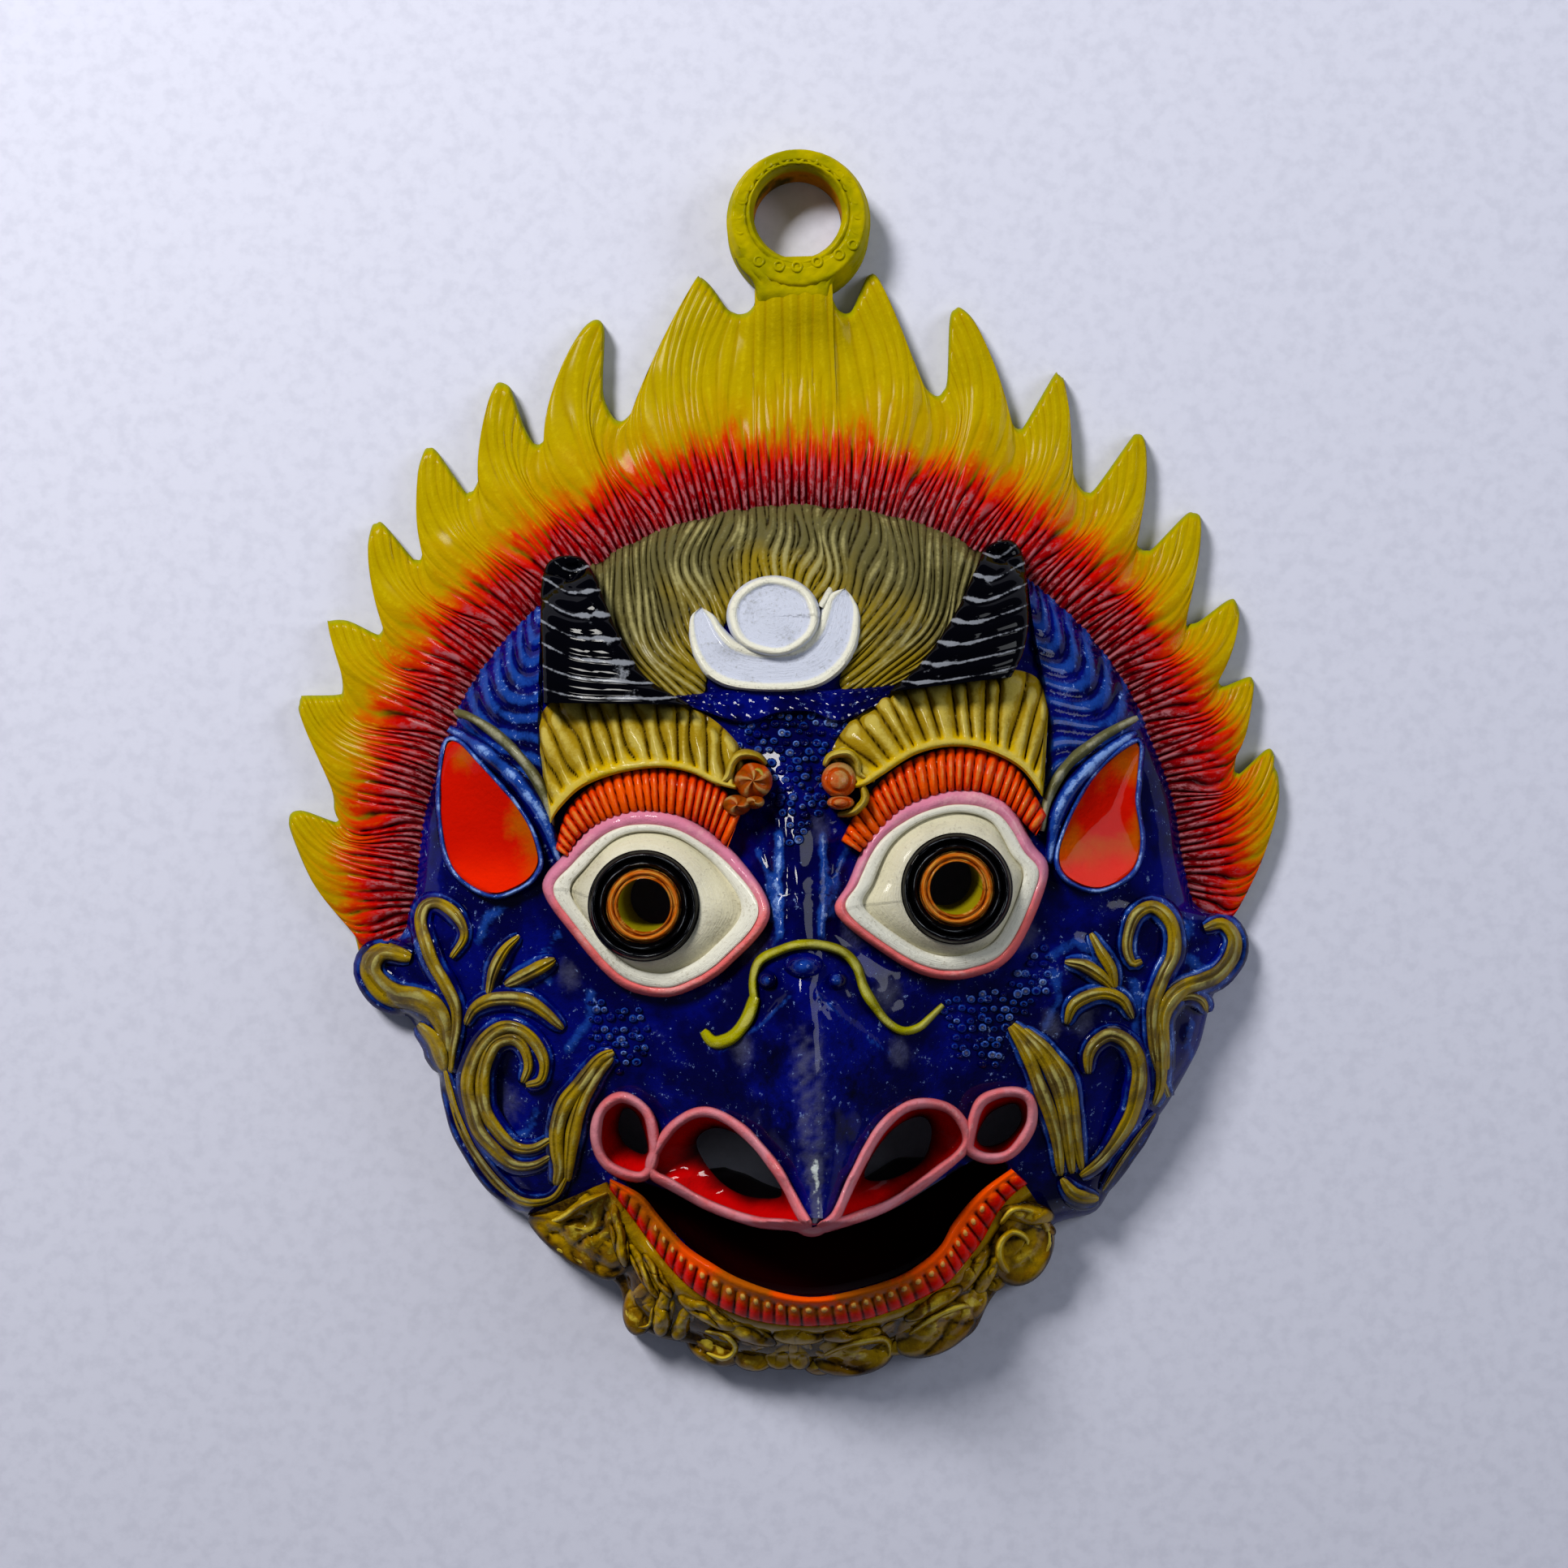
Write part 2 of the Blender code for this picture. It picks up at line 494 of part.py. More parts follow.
def build_upper_face(wax):
    """Hair, sun and moon, horns, brows, lashes, ears."""
    foot = smooth_line(HAIR_FOOT, 65)
    top = smooth_line(HAIR_TOP, 65)

    def locks(s, t):
        strand = 0.5 + 0.5 * np.cos(2 * math.pi * HAIR_STRANDS * s + 1.2 * np.sin(2 * math.pi * t))
        return (HAIR_RISE + HAIR_STRAND_RISE * strand) * np.clip(4 * np.minimum(t + 0.2, 1 - t), 0, 1)

    wax.strip(foot, top, 10, locks)
    wax.cushion(oval(SUN, drawn(SUN_WIDTH) / 2, drawn(SUN_HEIGHT) / 2), SUN_RISE, edge=SUN_EDGE, power=0.3)
    wax.strip(smooth_line(MOON_OUTER, 40), smooth_line(MOON_INNER, 40), 4,
              lambda s, t: MOON_RISE * half_round(t) ** 0.5)
    for left, right in (HORN_LEFT, HORN_RIGHT):
        def horn(s, t):
            band = 0.75 + 0.25 * np.abs(np.sin(math.pi * HORN_BANDS * s))
            return HORN_RISE * half_round(t) * band * np.clip(s * 6, 0.35, 1)
        wax.strip(smooth_line(left, 50), smooth_line(right, 50), 6, horn, sink=0.004)
    for upper, lower in (BROW_LEFT, BROW_RIGHT):
        def brow(s, t):
            rib = np.abs(np.sin(math.pi * BROW_RIBS * (s + 0.05 * np.sin(2 * math.pi * t))))
            return BROW_RISE * (0.35 + 0.65 * t ** 0.7) * (0.72 + 0.28 * rib)
        wax.strip(smooth_line(upper, 73), smooth_line(lower, 73), 6, brow)
    for upper, lower in (LASH_LEFT, LASH_RIGHT):
        wax.strip(smooth_line(upper, 50), smooth_line(lower, 50), 4,
                  lambda s, t: LASH_RISE * (0.75 + 0.25 * half_round(t)))
    for knob in KNOBS:
        radius = drawn(KNOB_DIAMETER) / 2
        wax.cushion(oval(knob, radius, radius), KNOB_RISE, count=20, rows=4, edge=KNOB_EDGE)
    for ear, ridge in zip((EAR_LEFT, EAR_RIGHT), EAR_RIDGES):
        wax.cushion(ear, EAR_RISE, edge=EAR_EDGE, power=0.6)
        wax.ribbon(ridge, EAR_RIDGE_WIDTH, EAR_RIDGE_RISE)


def build_eyes(wax):
    """Almond eyeballs inside a lid, with a turned iris boss on each."""
    for eye, iris in ((EYE_LEFT, IRIS_LEFT), (EYE_RIGHT, IRIS_RIGHT)):
        wax.cushion(eye, EYE_RISE, edge=EYE_EDGE, count=48, rows=8, power=0.7)
        rim = smooth_line(eye, 49, closed=True)
        middle = rim[:-1].mean(axis=0)
        wax.strip(rim, middle + (rim - middle) * LID_INNER, 3,
                  lambda s, t: LID_RISE * half_round(t) ** 0.6, closed=True)
        radius = drawn(IRIS_DIAMETER) / 2
        wax.cushion(oval(iris, radius, radius), IRIS_RISE, edge=IRIS_EDGE, power=0.4, sink=0.003)


def build_lower_face(wax):
    """Cheek scrolls, cere line, rolled rims, lip and beard."""
    for line in SCROLLS:
        wax.ribbon(line, SCROLL_WIDTH, SCROLL_RISE, rows=4, count=12 + 4 * len(line))
    wax.ribbon(CERE_LINE, CERE_WIDTH, CERE_RISE, rows=4, count=50)
    for line in (CORNER_LEFT, CORNER_RIGHT):
        rim = smooth_line(line, 33, closed=True)
        middle = rim[:-1].mean(axis=0)
        wax.strip(rim + (rim - middle) * CORNER_RIM_SHARE, rim - (rim - middle) * CORNER_RIM_SHARE, 4,
                  lambda s, t: RIM_RISE * half_round(t), closed=True)
    for line in (ARCH_LEFT, ARCH_RIGHT, LOWER_RIM):
        wax.ribbon(line, RIM_WIDTH, RIM_RISE, taper=0.8, rows=4, count=40)

    def lip(s, t):
        rib = np.abs(np.sin(math.pi * LIP_RIBS * s))
        return LIP_RISE * half_round(t) ** 0.5 * (0.85 + 0.15 * rib)

    wax.strip(smooth_line(LIP[0], 121), smooth_line(LIP[1], 121), 5, lip, sink=0.004)
    for line in BEARD_LOCKS:
        wax.ribbon(line, BEARD_WIDTH, BEARD_RISE, taper=0.5, rows=6, count=30, sink=0.004)


def new_object(name, bm, collection):
    """A mesh object from a bmesh, in the collection."""
    mesh = bpy.data.meshes.new(name)
    bm.to_mesh(mesh)
    bm.free()
    thing = bpy.data.objects.new(name, mesh)
    collection.objects.link(thing)
    return thing


def opening_shaft(outline):
    """A shaft along the lines of sight, as wide as the opening is drawn."""
    rim = smooth_line(outline, 25, closed=True)
    middle = rim[:-1].mean(axis=0)
    knots = np.linspace(0, 1, len(rim))

    def surface(s, t, top):
        x = middle[0] + (np.interp(s, knots, rim[:, 0]) - middle[0]) * t
        y = middle[1] + (np.interp(s, knots, rim[:, 1]) - middle[1]) * t
        z = np.where(top, 0.100, -0.010)
        return (*place(x, y, z), z)

    return surface


def bore_shaft(centre, diameter, low, high, lean=(0, 0)):
    """A round shaft through `centre`, leaning by `lean` metres a metre of height."""

    def surface(s, t, top):
        z = np.where(top, high, low)
        turn = 2 * math.pi * s
        x = centre[0] + lean[0] * (z - centre[2]) + diameter / 2 * t * np.cos(turn)
        y = centre[1] + lean[1] * (z - centre[2]) + diameter / 2 * t * np.sin(turn)
        return x, y, z

    return surface


def build_cutters(collection, ring_centre):
    """Everything that is cut: the openings, the bores and what lies below the back plane."""
    shafts = {name: opening_shaft(outline) for name, outline in OPENINGS.items()}
    for name, (x, y) in (("left_pupil", IRIS_LEFT), ("right_pupil", IRIS_RIGHT)):
        z = float(face_height(x, y)) + IRIS_RISE
        eye_x, eye_y = place(x, y, z)
        outwards = math.tan(PUPIL_SPLAY) * math.copysign(1, eye_x)
        shafts[name] = bore_shaft((eye_x, eye_y, z), PUPIL_BORE, z - 0.040, z + 0.010,
                                  (outwards, -0.4 * abs(outwards)))
    shafts["ring_bore"] = bore_shaft((*ring_centre, 0), RING_BORE, -0.010, 0.050)
    cutters = []
    for name, surface in shafts.items():
        shaft = Sculpt()
        shaft.lay(32, 1, True, surface, filled=True)
        cutters.append(new_object(name, shaft.bm, collection))
    slab = bmesh.new()
    bmesh.ops.create_cube(slab, size=1.0)
    bmesh.ops.scale(slab, vec=(2 * MASK_HEIGHT, 2 * MASK_HEIGHT, 0.02), verts=slab.verts)
    bmesh.ops.translate(slab, vec=(0, 0, -0.01), verts=slab.verts)
    cutters.append(new_object("below_the_back", slab, collection))
    for cutter in cutters:
        cutter.hide_render = True
        cutter.display_type = "WIRE"
    return cutters


def enamel():
    """Glossy blue enamel, the colour of most of the face."""
    material = bpy.data.materials.new("mask enamel")
    material.use_nodes = True
    shader = material.node_tree.nodes["Principled BSDF"]
    shader.inputs["Base Color"].default_value = (0.010, 0.022, 0.160, 1)
    shader.inputs["Roughness"].default_value = 0.28
    shader.inputs["Metallic"].default_value = 0.0
    return material


def main():
    for thing in list(bpy.data.objects):
        bpy.data.objects.remove(thing)
    parts = bpy.data.collections.new("guardian_mask")
    cutters = bpy.data.collections.new("cutters")
    for collection in (parts, cutters):
        bpy.context.scene.collection.children.link(collection)
    wax = Sculpt()
    ring_centre = [float(value) for value in place(*RING, RING_THICKNESS)]
    build_face(wax)
    build_crown(wax)
    build_ring(wax, ring_centre)
    build_upper_face(wax)
    build_eyes(wax)
    build_lower_face(wax)
    mask = new_object("mask", wax.bm, parts)
    mask.data.materials.append(enamel())
    remesh = mask.modifiers.new("one casting", "REMESH")
    remesh.mode = "VOXEL"
    remesh.voxel_size = SCULPT_GRAIN
    bpy.context.view_layer.update()
    fine = mask.evaluated_get(bpy.context.evaluated_depsgraph_get()).to_mesh()
    fine_faces = 2 * len(fine.polygons)
    lighten = mask.modifiers.new("fewer facets", "DECIMATE")
    lighten.ratio = min(1.0, FACE_BUDGET / fine_faces)
    lighten.use_collapse_triangulate = True
    for cutter in build_cutters(cutters, ring_centre):
        cut = mask.modifiers.new("cut " + cutter.name, "BOOLEAN")
        cut.operation = "DIFFERENCE"
        cut.solver = "EXACT"
        cut.object = cutter


main()
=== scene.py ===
"""An enamelled, cast wall mask: a horned and beaked guardian bird in a crown of flames.

The mask lies on its flat back. +Z is out of the face, +Y runs up to the hanging ring. Metres.
"""

import math

import bmesh
import bpy
import numpy as np
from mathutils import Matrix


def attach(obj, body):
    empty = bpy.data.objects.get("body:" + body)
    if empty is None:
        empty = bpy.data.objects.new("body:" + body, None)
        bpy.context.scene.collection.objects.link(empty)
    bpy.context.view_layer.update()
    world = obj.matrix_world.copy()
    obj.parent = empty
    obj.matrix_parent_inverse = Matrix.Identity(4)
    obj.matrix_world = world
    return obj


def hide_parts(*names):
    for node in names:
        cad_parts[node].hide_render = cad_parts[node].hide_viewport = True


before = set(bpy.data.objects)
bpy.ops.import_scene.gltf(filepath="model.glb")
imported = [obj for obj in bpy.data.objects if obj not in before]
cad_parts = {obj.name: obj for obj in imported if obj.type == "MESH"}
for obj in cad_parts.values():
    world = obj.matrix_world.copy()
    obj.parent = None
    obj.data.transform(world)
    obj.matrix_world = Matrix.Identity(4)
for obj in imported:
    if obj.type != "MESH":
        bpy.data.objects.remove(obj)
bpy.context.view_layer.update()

# The bare head: one thin casting, domed over a hollow back, with a hooked beak and a jaw.
# Deep blue enamel, brushed on by hand, glossy, rubbed lighter where hands and cloths touch it. Painted shade
# darkens its hollows and its inside, and painted highlights and glints lighten its crests.
# Its front is drawn on a square sheet, y down, as seen from straight above the sheet's SIGHT_FOOT.
MASK_HEIGHT = 0.300
DRAWN_HEIGHT = 1517
OUTLINE_RISE = 0.010
SHEET = 1932
SIGHT_FOOT = (966, 966)
SIGHT_DISTANCE = 0.450
DRAWN_LEAN = math.radians(1.3)
UNIT = MASK_HEIGHT / DRAWN_HEIGHT * SIGHT_DISTANCE / (SIGHT_DISTANCE - OUTLINE_RISE)
MIDDLE = (-0.0002, 0.0041)
WALL = 0.0032
BACK_RIM = 0.0050
BACK_RIM_FROM = 0.92
CHEEK_EDGE = 0.0055
DOME_RISE = 0.0350
DOME_FULLNESS = 0.55
EDGE_ZONE = 0.3
EDGE_SOFTENING = 16
BEAK_HEIGHT = 0.0320
BEAK_EASE = 0.005
BEAK_EASE_INSIDE = 0.008
JAW_HEIGHT = 0.0150
HEAD = (985, 1100)
HEAD_RADIUS = 480
BEAK_LEAN = 0.055
BEAK_STATIONS = (900, 1050, 1180, 1320, 1450, 1505, 1530)
BEAK_RIDGE = (0, 0.28, 0.52, 0.88, 1.12, 1.02, 0)
BEAK_HALF_WIDTH = (70, 100, 170, 235, 230, 160, 120)
JAW = (1000, 1575)
JAW_REACH = (270, 125)
FACE_OUTLINE = (
    (505, 1100), (520, 985), (569, 860), (645, 761), (745, 684), (862, 636), (985, 620),
    (1108, 636), (1225, 684), (1325, 761), (1401, 860), (1450, 975), (1464, 1060), (1478, 1116),
    (1506, 1128), (1524, 1138), (1526, 1160), (1515, 1199), (1495, 1226), (1487, 1252), (1478, 1287), (1461, 1321),
    (1437, 1362), (1417, 1389), (1390, 1430), (1369, 1464), (1349, 1493), (1316, 1502), (1294, 1512), (1272, 1546),
    (1240, 1570), (1206, 1588), (1194, 1626), (1160, 1650), (1104, 1650), (1060, 1674), (1000, 1674), (950, 1671),
    (900, 1662), (850, 1638), (804, 1632), (778, 1606), (772, 1572), (722, 1546), (672, 1508), (650, 1501),
    (622, 1470), (598, 1441), (577, 1408), (562, 1376), (548, 1342), (531, 1303), (509, 1260), (484, 1236),
    (457, 1206), (443, 1178), (460, 1166), (490, 1154),
)
OUTLINE_POINTS = 900
STEPS_PER_SPAN = 12
HEAD_COLUMNS = 390
HEAD_ROWS = 76
SHARP_FROM = math.radians(62)
MOUTH = ((770, 1452), (800, 1460), (832, 1470), (876, 1492), (932, 1511), (968, 1516), (1001, 1522), (1040, 1512),
         (1100, 1490), (1150, 1460), (1200, 1430), (1236, 1430), (1238, 1446), (1196, 1486), (1160, 1534),
         (1100, 1574), (1000, 1594), (900, 1574), (838, 1524), (800, 1484))
CORNER_LEFT = ((806, 1425), (799, 1374), (767, 1352), (740, 1370), (735, 1408), (752, 1438), (790, 1450))
CORNER_RIGHT = ((1194, 1404), (1206, 1362), (1228, 1348), (1255, 1346), (1271, 1358), (1271, 1384), (1258, 1408),
                (1240, 1424), (1216, 1427), (1196, 1418))
NOSTRIL_LEFT = ((803, 1444), (808, 1418), (834, 1384), (870, 1370), (912, 1390), (955, 1438), (984, 1490),
                (994, 1512), (970, 1509), (930, 1505), (875, 1486), (829, 1461))
NOSTRIL_RIGHT = ((1192, 1408), (1172, 1368), (1126, 1361), (1086, 1390), (1052, 1450), (1030, 1498), (1012, 1513),
                 (1058, 1499), (1100, 1482), (1150, 1448))
IRIS_LEFT = (793, 1116)
IRIS_RIGHT = (1179, 1095)
PUPIL = 33
PUPIL_CLEARANCE = 8
FUNNEL_HOLD = 0.94
SCROLL_DISHES = ((628, 1345), (1368, 1350), (1466, 1268))
DISH_REACH = 62
NOSE_FOLDS = (957, 1012)
SMOOTH_BEAK = ((990, 1340), (190, 170))
# Each crease has a reach and a course, each dusty patch a middle and a reach.
CREASES = ((7, ((974, 1226), (938, 1262), (890, 1296))), (7, ((1008, 1226), (1046, 1262), (1096, 1298))),
           (9, ((962, 1030), (958, 1090), (962, 1150))), (8, ((1014, 1030), (1018, 1090), (1012, 1150))),
           (8, ((934, 1050), (948, 1084), (952, 1130))), (9, ((1046, 1040), (1030, 1080), (1026, 1130))),
           (9, ((676, 1208), (668, 1180), (690, 1150))), (12, ((700, 1290), (724, 1262), (728, 1226))),
           (12, ((1296, 1176), (1326, 1160), (1352, 1176))), (14, ((1462, 1140), (1456, 1176), (1478, 1192))),
           (9, ((850, 1400), (880, 1368), (910, 1372))), (8, ((1110, 1360), (1076, 1390), (1046, 1440))),
           (12, ((1290, 1262), (1306, 1230), (1300, 1200))), (12, ((1398, 1210), (1404, 1240), (1398, 1272))),
           (10, ((1470, 1262), (1462, 1284), (1470, 1304))), (10, ((520, 1160), (500, 1148), (478, 1156))),
           (10, ((590, 1160), (600, 1130), (620, 1118))), (10, ((660, 1370), (650, 1396), (628, 1400))))
DUSTY = ((922, 1160, 36), (1052, 1150, 34), (1092, 1226, 30), (1010, 1020, 24), (912, 1290, 26), (1262, 1150, 30),
         (1108, 1296, 26), (700, 1200, 24), (1336, 1250, 30), (620, 1360, 34), (1296, 1262, 24))


def place(x, y, z):
    """The point at height z that the eye sees at (x, y) on the drawing."""
    reach = UNIT * (SIGHT_DISTANCE - np.asarray(z, float)) / SIGHT_DISTANCE
    right = (np.asarray(x, float) - SIGHT_FOOT[0]) * reach
    up = (SIGHT_FOOT[1] - np.asarray(y, float)) * reach
    across = right * math.cos(DRAWN_LEAN) + up * math.sin(DRAWN_LEAN)
    along = up * math.cos(DRAWN_LEAN) - right * math.sin(DRAWN_LEAN)
    return across - MIDDLE[0], along - MIDDLE[1]


def at(line, share):
    """The points that lie at these shares of a drawn line."""
    knots = np.linspace(0, 1, len(line))
    return np.interp(share, knots, line[:, 0]), np.interp(share, knots, line[:, 1])


def evenly(line, count):
    """The same line with `count` evenly spaced points."""
    gone = np.concatenate(([0], np.cumsum(np.hypot(*np.diff(line, axis=0).T))))
    spots = np.linspace(0, gone[-1], count)
    return np.column_stack((np.interp(spots, gone, line[:, 0]), np.interp(spots, gone, line[:, 1])))


def smooth_line(points, count, closed=False):
    """`count` points evenly spaced on a smooth curve through a few drawn ones."""
    p = np.array(points, float)
    if closed:
        p = np.vstack((p[-1], p, p[0], p[1]))
    else:
        p = np.vstack((2 * p[0] - p[1], p, 2 * p[-1] - p[-2]))
    t = np.linspace(0, 1, STEPS_PER_SPAN, endpoint=False)[:, None]
    spans = []
    for a, b, c, d in zip(p, p[1:], p[2:], p[3:]):
        spans.append(0.5 * (2 * b + (c - a) * t + (2 * a - 5 * b + 4 * c - d) * t ** 2
                            + (3 * b - a - 3 * c + d) * t ** 3))
    return evenly(np.vstack(spans + [p[-2:-1]]), count)


def rim_line(outline, columns):
    """A closed outline in that many even columns, its first point repeated at the end."""
    return smooth_line(outline, columns + 1, closed=True)


OUTLINE_LINE = smooth_line(FACE_OUTLINE, OUTLINE_POINTS, closed=True)
OUTLINE_TURN = np.arctan2(OUTLINE_LINE[:, 0] - HEAD[0], HEAD[1] - OUTLINE_LINE[:, 1])
OUTLINE_REACH = np.hypot(OUTLINE_LINE[:, 0] - HEAD[0], OUTLINE_LINE[:, 1] - HEAD[1])
OUTLINE_ORDER = np.argsort(OUTLINE_TURN)
EVEN_TURNS = np.radians(np.arange(-180, 180))
EDGE_REACH = np.interp(EVEN_TURNS, OUTLINE_TURN[OUTLINE_ORDER], OUTLINE_REACH[OUTLINE_ORDER],
                       period=2 * math.pi)
SOFT_REACH = np.mean([np.roll(EDGE_REACH, shift) for shift in range(-EDGE_SOFTENING, EDGE_SOFTENING + 1)], axis=0)


def middle_of(rim):
    """The middle of a closed line's points."""
    return rim[:-1].mean(axis=0)


def shrink(rim, share):
    """The closed rim drawn in towards its middle."""
    middle = middle_of(rim)
    return middle + (rim - middle) * share


def bump(distance, reach):
    """A smooth hill, 1 at distance 0 and 0 from `reach` on."""
    t = np.clip(np.abs(distance) / reach, 0, 1)
    return (1 - t * t) ** 2


def ramp(value, low, high):
    """0 below low, 1 above high and a soft S between."""
    t = np.clip((value - low) / (high - low), 0, 1)
    return t * t * (3 - 2 * t)


def plateau(value, start, full, wane, end):
    """0 up to start, 1 from full to wane and 0 again from end on."""
    return ramp(value, start, full) * ramp(-value, -end, -wane)


def half_round(t):
    """Cross-section of a rolled moulding, 0 at both edges and 1 between."""
    return np.sqrt(np.clip(1 - (2 * t - 1) ** 2, 0, 1))


def waver(x, y, size):
    """Slow unevenness of hand-worked wax, between -1 and 1, in hills about `size` units wide."""
    a, b = np.asarray(x, float) / size, np.asarray(y, float) / size
    return (np.sin(2.1 * a + 1.3 * np.sin(1.7 * b)) + np.sin(2.6 * b + 1.1 * np.sin(1.9 * a + 2))
            + np.sin(1.6 * (a + b) + 4)) / 3


def beak_axis(y):
    """Where the beak's ridge crosses this height of the drawing."""
    return HEAD[0] + BEAK_LEAN * (y - HEAD[1])


def face_height(x, y, inner=False):
    """Height of the bare face above the back plane, seen at (x, y) on the drawing."""
    x = np.asarray(x, float)
    y = np.asarray(y, float)
    turn = np.arctan2(x - HEAD[0], HEAD[1] - y)
    edge = np.interp(turn, EVEN_TURNS, EDGE_REACH, period=2 * math.pi)
    soft = np.interp(turn, EVEN_TURNS, SOFT_REACH, period=2 * math.pi)
    reach = np.hypot(x - HEAD[0], y - HEAD[1])
    near_edge = np.clip((reach / edge - 1 + EDGE_ZONE) / EDGE_ZONE, 0, 1) ** 2
    r = np.clip(reach / (soft + (edge - soft) * near_edge), 0, 1)
    height = CHEEK_EDGE + DOME_RISE * (1 - r * r) ** DOME_FULLNESS
    ridge = np.interp(y, BEAK_STATIONS, BEAK_RIDGE)
    width = np.interp(y, BEAK_STATIONS, BEAK_HALF_WIDTH)
    off = np.clip(np.abs(x - beak_axis(y)) / width, 0, 1)
    crest = 1 - np.sqrt(off * off + (BEAK_EASE_INSIDE if inner else BEAK_EASE))
    height = height + BEAK_HEIGHT * ridge * np.clip(crest, 0, 1) ** 1.5
    off = np.hypot((x - JAW[0]) / JAW_REACH[0], (y - JAW[1]) / JAW_REACH[1])
    return height + JAW_HEIGHT * bump(off, 1)


def shape(bm, name):
    """The bmesh as an object in the scene."""
    mesh = bpy.data.meshes.new(name)
    bm.to_mesh(mesh)
    bm.free()
    piece = bpy.data.objects.new(name, mesh)
    bpy.context.collection.objects.link(piece)
    return piece


class Casting:
    """Wax laid slab on slab for one paint, with the marks on its points that guide the brush."""

    LOWEST = 0.0002
    LEVEL_RANGE = (-0.001, 0.008)
    TAPER_SHARE = 0.35
    MEASURING_POINTS = 200
    FEWEST_COLUMNS = 12

    def __init__(self, *marks):
        self.bm = bmesh.new()
        layers = self.bm.verts.layers.float
        self.along, self.across = layers.new("along"), layers.new("across")
        self.marks = [layers.new(mark) for mark in marks]

    def lay(self, columns, rows, surface, closed=False, filled=False):
        """Lay a slab: surface(s, t, top) gives x, y, z and the marks.

        A closed one goes round, and a filled one also meets at its middle.
        """
        bm = self.bm
        verts = bmesh.ops.create_grid(bm, x_segments=columns, y_segments=rows, size=0.5)["verts"]
        for vert in verts:
            vert[self.along], vert[self.across] = vert.co.x + 0.5, vert.co.y + 0.5
            if closed:
                turn, ring = 2 * math.pi * vert[self.along], vert[self.across] + (0 if filled else 1)
                vert.co = (ring * math.cos(turn), ring * math.sin(turn), 0)
        if closed:
            bmesh.ops.remove_doubles(bm, verts=verts, dist=1e-6)
            verts = [vert for vert in verts if vert.is_valid]
        sheet = list({face for vert in verts for face in vert.link_faces})
        raised = bmesh.ops.extrude_face_region(bm, geom=sheet)["geom"]
        tops = [item for item in raised if isinstance(item, bmesh.types.BMVert)]
        front = [item for item in raised if isinstance(item, bmesh.types.BMFace)]
        top = np.arange(len(verts) + len(tops)) >= len(verts)
        verts = verts + tops
        s = np.array([vert[self.along] for vert in verts])
        t = np.array([vert[self.across] for vert in verts])
        values = [np.broadcast_to(value, s.shape).tolist() for value in surface(s, t, top)]
        for vert, x, y, z in zip(verts, *values[:3]):
            vert.co = (x, y, z)
        for mark, column in zip(self.marks, values[3:]):
            for vert, value in zip(verts, column):
                vert[mark] = value
        shell = list({face for vert in verts for face in vert.link_faces})
        bmesh.ops.recalc_face_normals(bm, faces=shell)
        if sum(face.normal.z * face.calc_area() for face in front) < 0:
            bmesh.ops.reverse_faces(bm, faces=shell)

    def drape(self, columns, rows, spot, rise, closed, filled=False, sink=0.002, shell=None, level=0.0):
        """Lay a slab on the face: spot(s, t) is where it is drawn, rise(s, t, x, y) its height and marks.

        It reaches `sink` into the face, or is a loose `shell` of that thickness. Where the face falls away
        steeply, `level` holds its lower side up towards the height of its middle.
        """

        def surface(s, t, top):
            x, y = spot(s, t)
            height, *marks = rise(s, t, x, y)
            under = height - shell if shell else -sink
            if level:
                middle = face_height(*spot(s, np.zeros_like(t) if filled else np.full_like(t, 0.5)))
                height = height + level * np.clip(middle - face_height(x, y), *self.LEVEL_RANGE)
            z = np.maximum(face_height(x, y) + np.where(top, height, under), self.LOWEST)
            return (*place(x, y, z), z, *marks)

        self.lay(columns, rows, surface, closed, filled)

    def strip(self, edge_a, edge_b, rows, rise, closed=False, columns=None, **more):
        """A moulding between two drawn edges."""
        count = columns or len(edge_a) - 1
        a, b = [smooth_line(edge, count + 1, closed) if isinstance(edge, tuple) else edge
                for edge in (edge_a, edge_b)]

        def spot(s, t):
            (ax, ay), (bx, by) = at(a, s), at(b, s)
            return ax + (bx - ax) * t, ay + (by - ay) * t

        self.drape(count, rows, spot, rise, closed, **more)

    def ribbon(self, line, width, height, rows=8, taper=(0.3, 0.3), profile=None, step=4.5, closed=False, **more):
        """A moulding along a drawn line, with uneven edges, narrowing to its ends by `taper`.

        `step` is the spacing of its columns, and profile(t) gives its share of the height, and its ridge.
        """
        rough = smooth_line(line, self.MEASURING_POINTS, closed)
        count = max(self.FEWEST_COLUMNS, int(np.hypot(*np.diff(rough, axis=0).T).sum() / step))
        centre = smooth_line(line, count + 1, closed)
        padded = np.vstack((centre[-2:-1], centre, centre[1:2])) if closed else centre
        ahead = np.gradient(padded, axis=0)[1:-1] if closed else np.gradient(padded, axis=0)
        side = np.column_stack((-ahead[:, 1], ahead[:, 0])) / np.hypot(*ahead.T)[:, None]
        ends = np.linspace(0, 1, count + 1)
        swell = 1 + 0.1 * waver(centre[:, 0], centre[:, 1], 22)
        if not closed:
            swell *= np.minimum(*[end + (1 - end) * np.sqrt(np.clip(share / self.TAPER_SHARE, 0, 1))
                                  for end, share in zip(taper, (ends, 1 - ends))])
        half = side * (width / 2 * swell)[:, None]

        def rise(s, t, x, y):
            share, ridge = profile(t) if profile else (half_round(t), half_round(t))
            return height * share * np.interp(s, ends, swell), ridge * (1 + 0.22 * waver(x, y, 14))

        self.strip(centre - half, centre + half, rows, rise, closed, **more)

    def cushion(self, outline, columns, rows, rise, **more):
        """A filled outline, t from its middle to its rim."""
        rim = rim_line(outline, columns)
        middle = middle_of(rim)

        def spot(s, t):
            x, y = at(rim, s)
            return middle[0] + (x - middle[0]) * t, middle[1] + (y - middle[1]) * t

